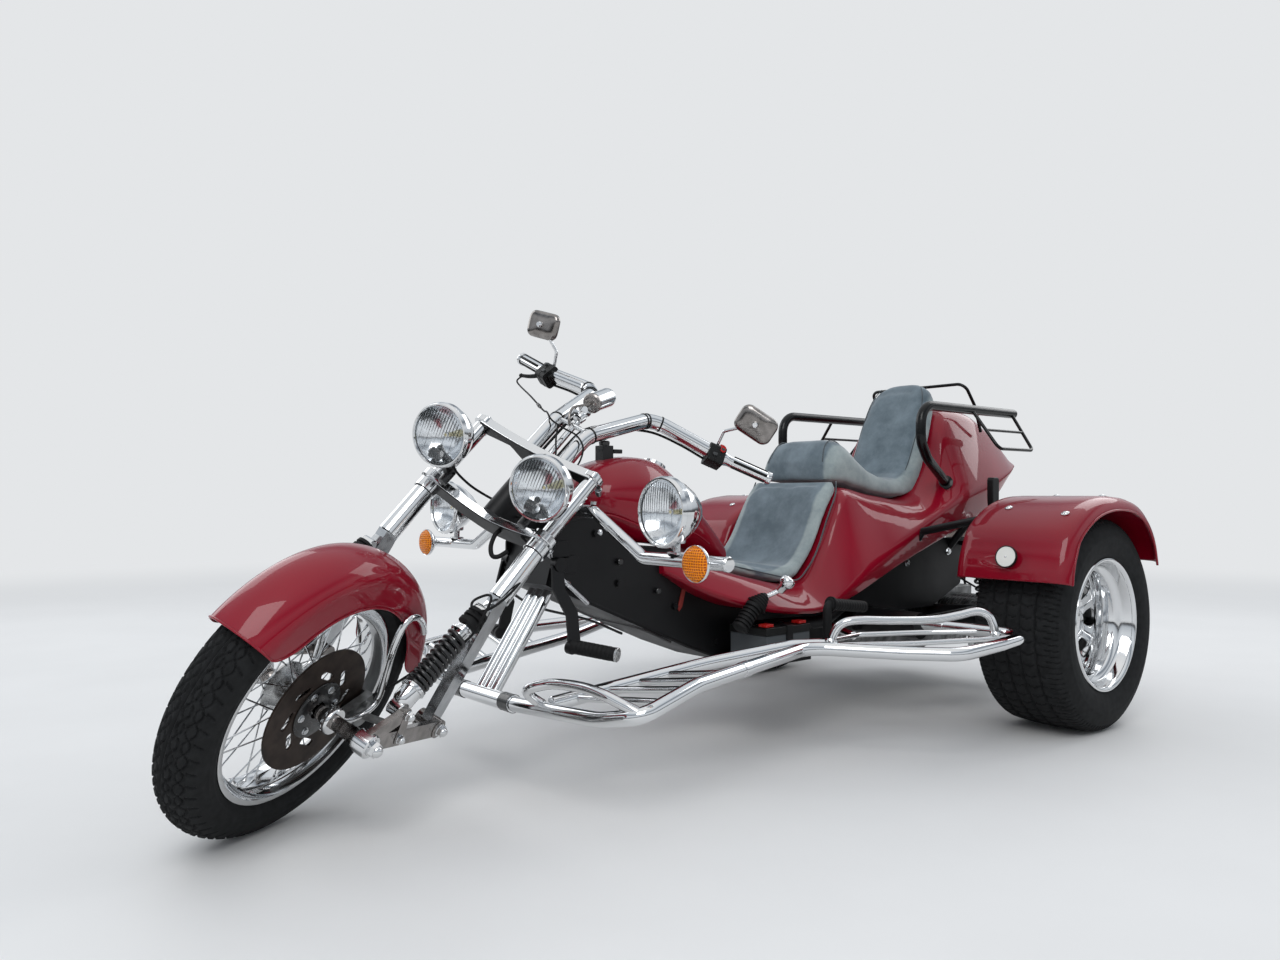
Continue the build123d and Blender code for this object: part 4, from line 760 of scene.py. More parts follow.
def pierced_dish(count=8, inner=60, outer=159, steps=10, rings=4):
    """Dished disc about X with rounded windows in a ring."""
    middle = inner + (outer - inner) * 0.72
    half = pi / count
    corners = [(inner, -half), (inner, half), (outer, half), (outer, -half), (inner, -half)]
    edge = [(r0 + (r1 - r0) * k / steps, a0 + (a1 - a0) * k / steps)
            for (r0, a0), (r1, a1) in zip(corners, corners[1:]) for k in range(steps)]
    sectors = []
    for number in range(count):
        rows = [[] for _ in range(rings + 1)]
        for px, py in [(r * sin(a), r * cos(a)) for r, a in edge]:
            angle = atan2(px, py - middle)
            sx, sy = sin(angle), cos(angle)
            size = (abs(sx / (26 * (1 + 0.22 * sy))) ** 2.8 + abs(sy / 30) ** 2.8) ** (-1 / 2.8)
            hole = (sx * size, middle + sy * size)
            for ring, row in enumerate(rows):
                x, y = (p + (h - p) * ring / rings for p, h in zip((px, py), hole))
                r, a = sqrt(x * x + y * y), atan2(x, y) + 2 * half * number
                lift = 14 - 30 * max(0, (100 - r) / 40) ** 1.5 + (r - 100) * 0.1 - (3.5 if ring == rings else 0)
                row.append((lift, r * sin(a), r * cos(a)))
        sectors.append(skinned(rows, caps=False))
    return merged(*sectors)


# Construction pieces that stay, each with its finish
KEPT = {
    "fork_tubes": chrome, "fork_legs": road_chrome, "front_caliper": casting, "front_disc": disc_steel,
    "frame_spine": powder, "rear_rail_left": powder, "rear_rail_right": powder, "cross_tubes": powder,
    "mudguard_stays": powder, "front_struts": chrome, "lamp_bar": chrome, "number_plate": plate_sheet,
    "tank_cap": chrome,
}


def dress(node, finish):
    thing = frame["nodes"][node]
    if not thing.material_slots:
        thing.data.materials.append(None)
    for slot in thing.material_slots:
        slot.link = "OBJECT"
        slot.material = finish


# Mudguards
GUARD_SET_BACK = 13
GUARD_HALF = 79
GUARD_SKIRT_R = 262
GUARD_SHOULDER_R = 317
GUARD_RISE = 49


def front_mudguard():
    """Deep guard: round crown, side skirts whose lower corners are rounded off, a rolled edge all round."""
    first, last, steps = -2.0, 132.0, 96
    half = [(GUARD_HALF, GUARD_SKIRT_R + 9 * k) for k in range(6)]
    half += [(GUARD_HALF * cos(a), GUARD_SHOULDER_R + GUARD_RISE * sin(a)) for a in [pi / 32 * k for k in range(17)]]
    section = half + [(-x, r) for x, r in reversed(half[:-1])]
    rows = []
    for k in range(steps + 1):
        share = (1 - cos(pi * k / steps)) / 2
        angle = radians(first + (last - first) * share)
        # The skirt's corners are rounded, the front ones more
        lift = 0
        for gone, corner, reach in ((share, 52, 16), (1 - share, 40, 11)):
            near = max(0, 1 - gone * (last - first) / reach)
            lift = max(lift, corner * (1 - sqrt(1 - near ** 2)))
        row = []
        for x, r in section:
            radius = r + lift * max(0, (GUARD_SHOULDER_R - r) / (GUARD_SHOULDER_R - GUARD_SKIRT_R))
            row.append((x, radius * cos(angle) + AXLE_E - GUARD_SET_BACK, radius * sin(angle) + AXLE_T))
        rows.append(row)
    guard = steered("front_mudguard_shell", skinned(rows, closed=False, caps=False), cherry, "front_mudguard", sharp=60)
    thicken(guard, 4)
    edge = rows[0] + [row[-1] for row in rows[1:-1]] + rows[-1][::-1] + [row[0] for row in reversed(rows[:-1])]
    steered("front_mudguard_edge", tube(edge, 2.6, sides=8, edge=0), cherry, sharp=60)


GUARD_CURVE = [(-366, 490), (-358, 532), (-340, 582), (-296, 650), (-180, 716), (-40, 742), (110, 730), (212, 680),
               (276, 606), (303, 528)]
# Across x, and inward from the crown line
GUARD_SECTION = [(512, 62), (512, 34), (514, 18), (520, 8), (532, 2), (556, 0), (620, -2), (690, -3), (760, -2),
                 (812, 0), (840, 4), (858, 12), (866, 24), (869.5, 38), (870, 44)]


def rear_mudguards():
    """Wide crowned arches with a rolled lip outside and a deeper skirt inside."""
    spine = flowing([(0, y, z) for y, z in GUARD_CURVE], 9)
    last = len(spine) - 1
    rows = []
    for k, point in enumerate(spine):
        ahead = (spine[min(k + 1, last)] - spine[max(k - 1, 0)]).normalized()
        inward = Vector((0, ahead.z, -ahead.y))
        if inward.z > 0 and k > (last + 1) // 3:
            inward = -inward
        rows.append([tuple(point + Vector((x, 0, 0)) + inward * max(depth, 0.5)) for x, depth in GUARD_SECTION])
    heads = []
    for y, x in ((-210, 612), (-238, 808), (40, 640), (40, 790), (170, 700)):
        k = min(range(len(spine)), key=lambda k: abs(spine[k].y - y) + (0 if spine[k].z > 560 else 900))
        ahead = (spine[min(k + 1, last)] - spine[k - 1]).normalized()
        outward = Vector((0, -ahead.z, ahead.y))
        if outward.z < 0:
            outward = -outward
        round_top = [(2 + 4 * sin(a), 9 * cos(a)) for a in (0.4, 0.8, 1.2)]
        head = [(0, 0), (0, 12), (1.5, 12), (2, 9)] + round_top + [(6.2, 0)]
        heads.append(lathed(head, Vector((x, spine[k].y, spine[k].z)) + outward * 0.5, outward, 24))
    skin = skinned(rows, closed=False, caps=False)
    lip, trim = tube([row[-1] for row in rows], 3.5, sides=10), tube([row[0] for row in rows], 4.5, sides=10)
    for side, turn in SIDES:
        name = f"rear_mudguard_{side}"
        thicken(fixed(f"{name}_shell", turn(skin), cherry, name, sharp=50), 4)
        fixed(f"{name}_rolled_lip", turn(lip), cherry, sharp=60)
        fixed(f"{name}_rubber_trim", turn(trim), grip_rubber, sharp=60)
        fixed(f"{name}_bolts", turn(merged(*heads)), chrome)
    foot, lean = (689, -362.5, 559), (0, -0.97, 0.22)
    rim = [(0, 30), (0, 34), (7, 34), (8.4, 32.5), (7.4, 31), (0, 30)]
    disc = [(0, 0), (0, 32), (5, 32), (7, 30), (7.5, 0)]
    fixed("mudguard_reflectors", both(lathed(disc, foot, lean, 48)), white_disc)
    fixed("mudguard_reflector_rims", both(lathed(rim, foot, lean, 48)), plastic)
    fixed("mudguard_reflector_screws", both(dome((689, -369.6, 560.6), lean, 3.5, 2.4, 12)), chrome)


# Tank and body
TANK = [
    (-1482, [(20, 712), (50, 716), (58, 740), (30, 768), (0, 772)]),
    (-1462, [(40, 690), (98, 702), (104, 748), (46, 802), (0, 806)]),
    (-1420, [(60, 664), (130, 682), (138, 768), (66, 828), (0, 834)]),
    (-1320, [(80, 616), (158, 645), (166, 770), (80, 850), (0, 856)]),
    (-1220, [(80, 602), (156, 640), (158, 758), (76, 842), (0, 850)]),
    (-1130, [(70, 592), (132, 630), (130, 722), (62, 794), (0, 802)]),
    (-1030, [(50, 562), (104, 592), (100, 655), (44, 702), (0, 708)]),
    (-930, [(40, 532), (70, 542), (68, 580), (30, 604), (0, 608)]),
]
BODY = [
    (-1238, [(60, 520), (120, 520), (128, 530), (108, 570), (0, 578)]),
    (-1100, [(90, 446), (200, 446), (212, 458), (156, 538), (0, 560)]),
    (-940, [(120, 398), (268, 398), (282, 412), (212, 494), (0, 500)]),
    (-744, [(120, 382), (284, 382), (297, 398), (214, 470), (0, 470)]),
    (-640, [(120, 404), (284, 404), (300, 434), (206, 580), (0, 560)]),
    (-560, [(120, 424), (284, 424), (302, 474), (200, 704), (0, 690)]),
    (-500, [(120, 444), (283, 444), (302, 505), (194, 770), (0, 764)]),
    (-317, [(120, 509), (281, 509), (301, 588), (182, 748), (0, 740)]),
    (-110, [(120, 574), (280, 574), (300, 682), (188, 736), (0, 740)]),
    (20, [(120, 614), (280, 614), (300, 728), (190, 860), (0, 885)]),
    (110, [(120, 640), (278, 640), (298, 748), (166, 1042), (0, 1070)]),
    (300, [(120, 715), (262, 715), (278, 790), (160, 1062), (0, 1082)]),
    (480, [(110, 810), (225, 810), (236, 830), (164, 975), (0, 1012)]),
    (596, [(80, 850), (184, 850), (192, 862), (142, 902), (0, 916)]),
]
RIDER_SEAT = [
    (-904, [(40, 508), (80, 512), (84, 528), (50, 542), (0, 545)]),
    (-868, [(80, 492), (138, 500), (136, 518), (90, 534), (0, 540)]),
    (-800, [(100, 478), (178, 484), (174, 510), (100, 520), (0, 522)]),
    (-745, [(110, 470), (194, 484), (186, 516), (100, 514), (0, 512)]),
    (-700, [(110, 492), (197, 520), (188, 556), (100, 540), (0, 532)]),
    (-650, [(110, 540), (198, 578), (186, 624), (100, 606), (0, 596)]),
    (-590, [(110, 630), (195, 684), (182, 742), (100, 732), (0, 722)]),
    (-545, [(110, 712), (190, 752), (178, 792), (100, 792), (0, 790)]),
    (-532, [(110, 740), (186, 766), (172, 796), (100, 798), (0, 798)]),
]


def tank_and_body():
    fixed("fuel_tank_skin", hull(TANK, [30, 60, 60], 6), cherry, "fuel_tank", sharp=60)
    seam = [(92, -1466, 694), (131, -1420, 686), (160, -1320, 650), (158, -1220, 644), (134, -1130, 634),
            (108, -1040, 598)]
    fixed("fuel_tank_seam", both(wire(seam, 2.6, 6, sides=8)), cherry, sharp=60)
    washer = [(2, 0), (2, 42), (6, 43), (9, 41), (10, 30), (10, 0)]
    fixed("tank_cap_washer", lathed(washer, (0, -1176, 818), (0, 0.5, 1), 48), grip_rubber, sharp=30)
    fixed("body_skin", hull(BODY, [10, 22, 46], 6), cherry, "body_shell", sharp=55)


# Seats
SEAT_VOXEL = 9.0
SEAT_PRESSURE = 4.0
CLOTH_FRAMES = 20


def apply_modifiers(thing):
    """Replace a mesh by what its modifiers make of it."""
    deps = bpy.context.evaluated_depsgraph_get()
    old, finish = thing.data, thing.data.materials[0]
    made = bpy.data.meshes.new_from_object(thing.evaluated_get(deps))
    thing.modifiers.clear()
    thing.data = made
    made.materials.clear()
    made.materials.append(finish)
    bpy.data.meshes.remove(old)


def corner_array(thing):
    return np.array([vertex.co[:] for vertex in thing.data.vertices])


def sewn_pad(name, shape, finish, node, cap):
    """Cushion blown up like its foam fills the cover, no point moving more than cap millimetres."""
    pad = fixed(name, shape, finish, node, sharp=32)
    modify(pad, "remesh", "REMESH", mode="VOXEL", voxel_size=SEAT_VOXEL * MM)
    apply_modifiers(pad)
    before = corner_array(pad)
    cloth = pad.modifiers.new("cloth", "CLOTH")
    settings = cloth.settings
    settings.use_pressure = True
    settings.uniform_pressure_force = SEAT_PRESSURE
    settings.effector_weights.gravity = 0
    settings.quality = 5
    settings.tension_stiffness = settings.compression_stiffness = 30
    settings.bending_stiffness = 4
    cloth.point_cache.frame_start, cloth.point_cache.frame_end = 1, CLOTH_FRAMES
    for number in range(1, CLOTH_FRAMES + 1):
        bpy.context.scene.frame_set(number)
    apply_modifiers(pad)
    step = corner_array(pad) - before
    size = np.linalg.norm(step, axis=1)
    step *= (np.minimum(size, cap * MM) / np.maximum(size, 1e-9))[:, None]
    pad.data.vertices.foreach_set("co", (before + step).astype(np.float32).ravel())
    bpy.context.scene.frame_set(1)
    modify(pad, "soften", "SMOOTH", iterations=3, factor=0.5)
    apply_modifiers(pad)
    pad.data.shade_smooth()
    modify(pad, "smooth", "SUBSURF", levels=1, render_levels=1)


def rider_seat():
    cover = suede_cover("suede_rider_seat", 0.150, 0.125)
    sewn_pad("rider_seat_cushion", hull(RIDER_SEAT, [26, 40, 50], 4), cover, "rider_seat", 7)
    nose = [(0, -908, 528), (50, -905, 524), (92, -892, 518), (140, -866, 508), (178, -808, 492), (196, -748, 478),
            (200, -700, 510), (200, -650, 570), (197, -592, 676), (190, -545, 746), (180, -528, 790)]
    fixed("rider_seat_piping", both(wire(nose, 2.4)), piping, sharp=60)


PAD = [
    # Top of the cover (y, z), its foot (y, z), half width, rounding of the top edges
    ((-536, 812), (-530, 799), 140, 8), ((-530, 860), (-514, 797), 156, 40), ((-506, 908), (-492, 796), 160, 62),
    ((-476, 934), (-462, 792), 162, 72), ((-440, 934), (-430, 788), 163, 74), ((-405, 914), (-402, 780), 163, 70),
    ((-350, 872), (-356, 770), 162, 60), ((-290, 834), (-300, 756), 162, 50), ((-230, 812), (-238, 746), 162, 44),
    ((-170, 801), (-172, 739), 162, 40), ((-120, 802), (-105, 737), 162, 40), ((-82, 822), (-48, 752), 162, 42),
    ((-50, 862), (-4, 800), 162, 44), ((-20, 922), (30, 880), 162, 44), ((20, 1010), (66, 975), 161, 42),
    ((52, 1085), (100, 1052), 152, 40), ((74, 1130), (124, 1100), 138, 38), ((92, 1160), (136, 1132), 116, 34),
    ((108, 1174), (140, 1152), 84, 26), ((122, 1178), (138, 1166), 50, 10),
]


def passenger_seat():
    """Hump, seat and tall backrest in one cover, its top edges rolled over to the sides."""
    rings = []
    for top, foot, half, rounding in PAD:
        rise = Vector(top) - Vector(foot)
        height = rise.length
        rise.normalize()
        rounding = min(rounding, height * 0.92)
        side = [(half - 12, 1), (half - 3, 8)]
        side += [(half - 3 - rounding + rounding * cos(a), height - 3 - rounding + rounding * sin(a))
                 for a in (pi / 2 * k / 6 for k in range(7))]
        side += [((half - rounding) * k / 4, height) for k in (3, 2, 1)]
        section = side + [(0, height)] + [(-x, v) for x, v in reversed(side)]
        rings.append([(x, foot[0] + rise.x * v, foot[1] + rise.y * v) for x, v in section])
    cover = suede_cover("suede_passenger_seat", 0.128)
    sewn_pad("passenger_seat_cushion", skinned(rings), cover, "passenger_seat", 6)
    seams = [wire([ring[place] for ring in rings[1:-2]], 1.8, 3, sides=8) for place in (-8, 7)]
    fixed("passenger_seat_seams", merged(*seams), piping, sharp=60)


# Lamps
LAMP_R = 84
LAMP_BULGE = 0.075 * LAMP_R


def lamp_profile(*rows):
    """Rows given as shares of the lamp's radius."""
    return [(distance * LAMP_R, radius * LAMP_R) for distance, radius in rows]


def lamps(name, node, body, place):
    """Pair of round lamps: chrome bowl, bezel, reflector, bulb, fluted glass and dark lines of painted shade over the
    glass, facing -Y and then placed.
    """
    bowl = lamp_profile((0.14, 0.94), (0.14, 1), (0.3, 1), (0.32, 0.95), (0.42, 0.93), (0.62, 0.86), (0.9, 0.7),
                        (1.18, 0.48)) + [(115.9, 21.84), (121, 10.08), (122, 0)]
    bezel = lamp_profile((0.16, 0.9), (0.06, 0.885), (0.02, 0.91), (0.02, 0.95), (0.08, 0.985), (0.16, 1), (0.2, 0.97),
                         (0.16, 0.9))
    inside = lamp_profile((0.14, 0.89), (0.3, 0.8), (0.5, 0.62), (0.64, 0.4), (0.7, 0.16), (0.71, 0))
    bulb = lamp_profile((0.68, 0.07), (0.46, 0.07), (0.4, 0.05), (0.38, 0))
    shield = lamp_profile((0.4, 0), (0.4, 0.08), (0.44, 0.1), (0.45, 0))
    for key, shape, finish in (
            ("bowl", lathed(bowl, axis=Y, steps=72, caps=False), chrome),
            ("bezel", lathed(bezel, axis=Y, steps=96), chrome),
            ("inside", lathed(inside, axis=Y, caps=False), reflector),
            ("bulb", lathed(bulb, axis=Y, steps=20), bulb_glass),
            ("shield", lathed(shield, axis=Y, steps=24), chrome),
            ("glass", fluted_glass(0.89 * LAMP_R), lamp_glass),
            # Dark lines of painted shade over the glass
            ("flutes", painted_shade_lines(0.86 * LAMP_R), painted_flute_shade)):
        piece(f"{name}_{key}", both(place(shape)), finish, body, node, sharp=180 if key == "glass" else 40)


def painted_shade_lines(radius, pitch=8.0, half=1.8):
    """Painted shade: fine dark upright lines over the upper part of the glass, every third one reaching lower."""
    lines = []
    count = int(radius * 0.97 / pitch)
    for k in range(-count, count + 1):
        x = k * pitch
        reach = sqrt(radius ** 2 - x ** 2) * 0.98
        low = reach * (0.02 if k % 3 else -0.62)
        rows = []
        for z in [low + (reach - low) * i / 10 for i in range(11)]:
            wide = half * max(0.3, min(1.0, 0.3 + 1.6 * z / radius))
            y = -LAMP_BULGE * (1 - (x * x + z * z) / radius ** 2) - 1.4
            rows.append([(x - wide, y, z), (x + wide, y, z)])
        lines.append(skinned(rows, closed=False, caps=False))
    return merged(*lines)


def fluted_glass(radius, pitch=7.0, columns=126, rows=18):
    """Domed glass with upright flutes, deeper in its upper half."""
    front = []
    for i in range(columns + 1):
        x = -radius * cos(pi * i / columns) if i in (0, columns) else radius * (2 * i / columns - 1)
        reach = sqrt(max(0.0, radius ** 2 - x ** 2))
        line = []
        for z in [reach * (2 * k / rows - 1) for k in range(rows + 1)]:
            r = sqrt(x * x + z * z)
            deep = (0.75 if z > 0 else 0.35) * max(0.0, min(1.0, (radius * 0.95 - r) / 3))
            line.append((x, -LAMP_BULGE * (1 - (r / radius) ** 2) + deep * cos(2 * pi * x / pitch), z))
        front.append(line)
    return skinned(front, closed=False, caps=False)


def on_lamp_arm(shape):
    """Turn a lamp that faces -Y in level axes into the fork's frame and put it on its arm."""
    turn = Matrix.Rotation(radians(45), 3, "X")
    spots = [turn @ Vector(point) + Vector((156, -211, 1005)) for point in shape[0]]
    return [(p.x, -p.y, p.z) for p in spots], shape[1]


def lamp_mounts():
    """Posts, clamps and gaiters that carry the side lamps on their bar."""
    post = merged(bar((520, -1546, 606), (520, -1545, 634), 9),
                  lathed([(0, 20), (4, 22), (12, 22), (16, 18), (16, 0)], (520, -1546, 632), Z, 32),
                  plate((44, 30, 8), (520, -1546), 606, 612, level))
    fixed("side_lamp_posts", both(post), road_chrome, "side_lamps", bevel=0.8)
    boot = [(0, 17), (4, 19), (7, 14), (10, 18), (13, 13), (16, 16), (20, 11), (30, 8)]
    fixed("side_lamp_boots", both(lathed(boot, (520, -1546, 608), (0, 0, -1), 24)), grip_rubber, sharp=60)
    ends = [(0, 0), (0, 17.5), (8, 17.5), (11, 15), (12, 0)]
    fixed("lamp_bar_end_caps", both(lathed(ends, (684, -1546, 592), X, 32)), chrome)


def turn_signals():
    place = (634, -1608, 592)
    lens = [(3, 0), (0, 12), (2.5, 26), (7, 36), (13, 39.5), (17, 39.5), (17, 0)]
    rim = [(14, 38), (12, 41.5), (15, 42.5), (20, 42), (24, 39), (34, 28), (42, 16), (46, 12), (60, 11), (60, 0),
           (20, 0), (14, 38)]
    fixed("turn_signal_lenses", both(lathed(lens, place, Y)), amber, "turn_signals", sharp=40)
    fixed("turn_signal_bodies", both(lathed(rim, place, Y, 48)), chrome, "turn_signals", sharp=40)


# Fork and springs
def shocks():
    """Black springs over chrome dampers between the leg lugs and the swinging arms."""
    top, foot = Vector((180, 72, 715)), Vector((180, 95, 420))
    run = foot - top
    length = run.length
    spring = coil(top, run, 23.5, 5.6, 11, 24, 14, lambda share: 0.26 + 0.54 * share ** 0.88)
    steered("front_shock_springs", both(spring), spring_black, "front_shocks", sharp=60)
    cap = [(0, 0), (0, 15), (4, 25), (12, 26), (14, 21), (18, 21), (20, 27), (28, 27), (30, 21), (34, 21), (36, 28),
           (46, 28), (48, 0)]
    steered("front_shock_caps", both(lathed(cap, top, run, 48)), grip_rubber, "front_shocks", sharp=40)
    steps = [(46, 0), (46, 15), (54, 16), (56, 21), (61, 21), (63, 24), (67, 24), (68, 29), (73, 29), (73, 0)]
    cup = [(0.79, 0), (0.79, 28), (0.81, 30), (0.825, 30), (0.83, 25), (0.93, 25), (0.95, 22), (0.97, 18), (0.97, 0)]
    parts = [lathed(steps, top, run, 48), lathed([(length * share, r) for share, r in cup], top, run, 48),
             lathed(drum(70, length * 0.9, 15), top, run, 32)]
    for spot, r in ((foot, 15), (top, 13)):
        parts.append(lathed([(-17, 0), (-17, r), (-15, r + 3), (15, r + 3), (17, r), (17, 0)], spot, X, 40))
    steered("front_shock_dampers", both(*parts), chrome, "front_shocks", bevel=0.6)


GRIP_START, GRIP_END = Vector((335, -262, 1626)), Vector((479, -326, 1674))
GRIP_AXIS = (GRIP_END - GRIP_START).normalized()
GRIP_LENGTH = (GRIP_END - GRIP_START).length


def handlebars():
    """Thick risers that run on as the bars, ending in ribbed grips with bright ends."""
    axis, length = GRIP_AXIS, GRIP_LENGTH
    path = rounded_path([(54, -12, 1194), (54, -15, 1330), (104, -180, 1588), GRIP_START], [110, 90])
    inner = [(-1, 0), (-1, 22.9), (0, 22.9), (4, 22.6), (10, 20), (length * 0.12, 17.5), (length * 0.12 + 6, 17.5),
             (length * 0.92, 17.5), (length * 0.92, 0)]
    side, other = across(axis)
    strips = []
    for number in range(5):
        angle = 2 * pi * number / 5 + 0.4
        foot = GRIP_START + (side * cos(angle) + other * sin(angle)) * 16.2
        strips.append(bar(foot + axis * length * 0.2, foot + axis * length * 0.9, 4.6, sides=16, edge=2.0))
    collar = [(length * 0.91, 16), (length * 0.91, 20.5), (length * 0.925, 21.5), (length * 0.985, 21.5), (length, 19),
              (length, 0)]
    steered("handlebar_tubes", both(tube(path, 23, sides=40), lathed(inner, GRIP_START, axis, 40)), chrome, "handlebar",
            sharp=40)
    steered("grip_strips", both(*strips), grip_rubber, sharp=60)
    steered("grip_ends", both(lathed(collar, GRIP_START, axis, 40)), chrome, sharp=40)
    flange = [(0, 0), (0, 29), (6, 31), (16, 31), (20, 28), (22, 23), (22, 0)]
    steered("riser_flanges", both(lathed(flange, path[0], (0, -0.02, 1), 48)), chrome, "handlebar")
    ties = []
    for share in (0.30, 0.52, 0.62, 0.86):
        k = int(share * (len(path) - 2))
        ahead = (path[k + 1] - path[k]).normalized()
        ties += [lathed([(-2.5, 22), (-2.5, 24.4), (2.5, 24.4), (2.5, 22)], path[k], ahead, 32),
                 brick_at(path[k] + across(ahead)[0] * 25, (4, 4, 5), ahead)]
    steered("cable_ties", both(*ties), plastic)


def switches():
    """Switch boxes with their buttons, the brake lever and its perch."""
    up = Vector(Z)
    up = (up - GRIP_AXIS * up.dot(GRIP_AXIS)).normalized()
    side = GRIP_AXIS.cross(up)

    def along(u, v, d):
        return tuple(GRIP_START + side * u + up * v + GRIP_AXIS * d)

    def outward(u, v, d):
        return along(-d, u, v)

    def upward(u, v, d):
        return along(u, d, v)

    shell = [plate((58, 62, 12), (0, -6), -54, -1, along), plate((60, 64, 13), (0, -6), -29, -27, along)]
    steered("switch_box_shells", both(*shell), plastic, "switch_boxes", bevel=2.2)
    buttons = [slab([(v + 10, u - 14) for u, v in rounded_outline(12, 9, 3)], 28, 35, outward),
               slab([(v - 14, u - 34) for u, v in rounded_outline(14, 10, 3)], 28, 34, outward)]
    steered("switch_buttons", both(*buttons), grey_cap, bevel=0.8)
    cap = merged(plate((22, 16, 5), (-8, -14), 24, 33, upward), plate((20, 16, 5), (12, -14), 28, 34, outward))
    steered("switch_red_cap", cap, red_cap, bevel=1.0)
    lever = flowing([(-320, -246, 1612), (-345, -254, 1594), (-372, -264, 1584), (-402, -274, 1580)])
    radii = [8.5 - 2.8 * k / (len(lever) - 1) for k in range(len(lever))]
    tip = lathed([(-8, 0), (-6, 5), (0, 8), (6, 5), (8, 0)], (-404, -275, 1580), (1, -0.1, 0.3), 24)
    steered("brake_lever", merged(tube(lever, radii, sides=16), tip), plastic, "switch_boxes", sharp=50)
    perch = merged(brick_at((-300, -240, 1606), (26, 30, 34), (-1, -0.3, 0.2)),
                   lathed(drum(-16, 16, 27), (-322, -256, 1622), (-0.91, 0.4, -0.3), 32))
    steered("brake_lever_perch", perch, plastic, "switch_boxes", bevel=2.0)


def mirrors():
    """Rounded mirrors with domed chrome backs and silvered glass."""
    stalk = bent([(306, -244, 1632), (312, -190, 1668), (360, -160, 1690), (392, -150, 1708)], [14, 30], 5, 16)
    centre = Vector((395, -150, 1712))
    wide = Vector((1, -0.25, 0)).normalized()
    ahead = Vector((0.2, -0.75, 0.62))
    ahead = (ahead - wide * ahead.dot(wide)).normalized()
    tall = ahead.cross(wide)

    def rim(*rows):
        """Skin over outlines of the mirror, each at a share of its size and a depth."""
        return skinned([[centre + wide * u * share + tall * v * share - ahead * depth
                         for u, v in rounded_outline(124, 88, 26, 8)] for share, depth in rows])

    shell = rim((0.93, -12), (0.985, -12), (1.0, -9), (1.0, -2), (0.95, 4), (0.8, 8), (0.5, 11), (0.15, 12))
    boss = lathed([(-4, 0), (-4, 11), (6, 10), (10, 7), (10, 0)], centre - ahead * 14, -ahead, 24)
    nut = lathed(drum(0, 12, 9), (306, -244, 1628), (0.1, 0.5, 0.5), 6)
    # The mirror backs carry painted dark reflections: chrome with a darkened base
    steered("mirror_shells", both(shell), chrome_painted_dark, "mirrors", sharp=50, levels=1)
    steered("mirror_glasses", both(rim((0.94, -12.4), (0.94, -11))), mirror_glass, sharp=40)
    steered("mirror_stalks", both(stalk, boss, nut), chrome, "mirrors", sharp=40)


def instrument():
    """Speedometer pod with a glass over a pale dial of ticks, on its post and cross strap."""
    foot, top = Vector((0, -12, 1435)), Vector((0, -66, 1514))
    axis = (top - foot).normalized()
    length = (top - foot).length

    def part(name, profile, steps, finish, *others, nodes=()):
        steered(f"instrument_{name}", merged(lathed(profile, foot, axis, steps), *others), finish, *nodes)

    pod = [(0, 0), (2, 22), (8, 28), (length - 12, 29), (length - 4, 29), (length, 28), (length, 25.5),
           (length - 6, 25), (length - 6, 0)]
    part("pod", pod, 64, chrome, bent([(0, -22, 1194), (0, -20, 1330), (0, -34, 1462)], [120], 9, 24),
         bar((-54, -18, 1345), (54, -18, 1345), 8), nodes=["instrument"])
    back = [(-2, 0), (-2, 12), (-1, 18), (-0.5, 19), (-1.5, 20), (-1, 26), (3, 29.5), (10, 29.6), (10, 20), (10, 0)]
    feed = [foot, foot - axis * 16, (-14, 4, 1402), (-22, 14, 1376), (-12, 12, 1346), (0, 0, 1330)]
    # The pod's back carries painted dark reflections: chrome with a darkened base
    part("back", back, 64, chrome_painted_dark, wire(feed, 4, sides=12))
    collar = [(0, 0), (0, 14), (4, 17), (20, 17), (24, 12), (24, 0)]
    fitting = merged(bar((0, -4, 1398), (0, -30, 1412), 13), hexagon((-10, 6, 1384), (0.3, 0.6, -1), 16, 16),
                     lathed(collar, (0, -10, 1366), (0, -0.4, 1), 32))
    steered("instrument_fittings", fitting, chrome)
    part("dial", drum(length - 5.6, length - 5, 25), 48, plastic)
    side, other = across(axis)
    marks = []
    for k in range(21):
        a = radians(-130 + 13 * k)
        out = side * sin(a) + other * cos(a)
        marks.append(brick_at(foot + axis * (length - 4.7) + out * 21, (0.8, 0.8, 2.5 if k % 2 else 4.5), out))
    needle = foot + axis * (length - 4.2) - (side + other) * 5.6
    marks.append(brick_at(needle, (1.2, 0.8, 18), side + other))
    steered("instrument_marks", merged(*marks), plate_sheet)
    glass = [(length - 3, 0), (length - 3, 25.2), (length - 1.4, 25.2), (length - 1.0, 12), (length - 0.8, 0)]
    part("glass", glass, 48, lamp_glass)


# Fork details
TUBE_E = 45


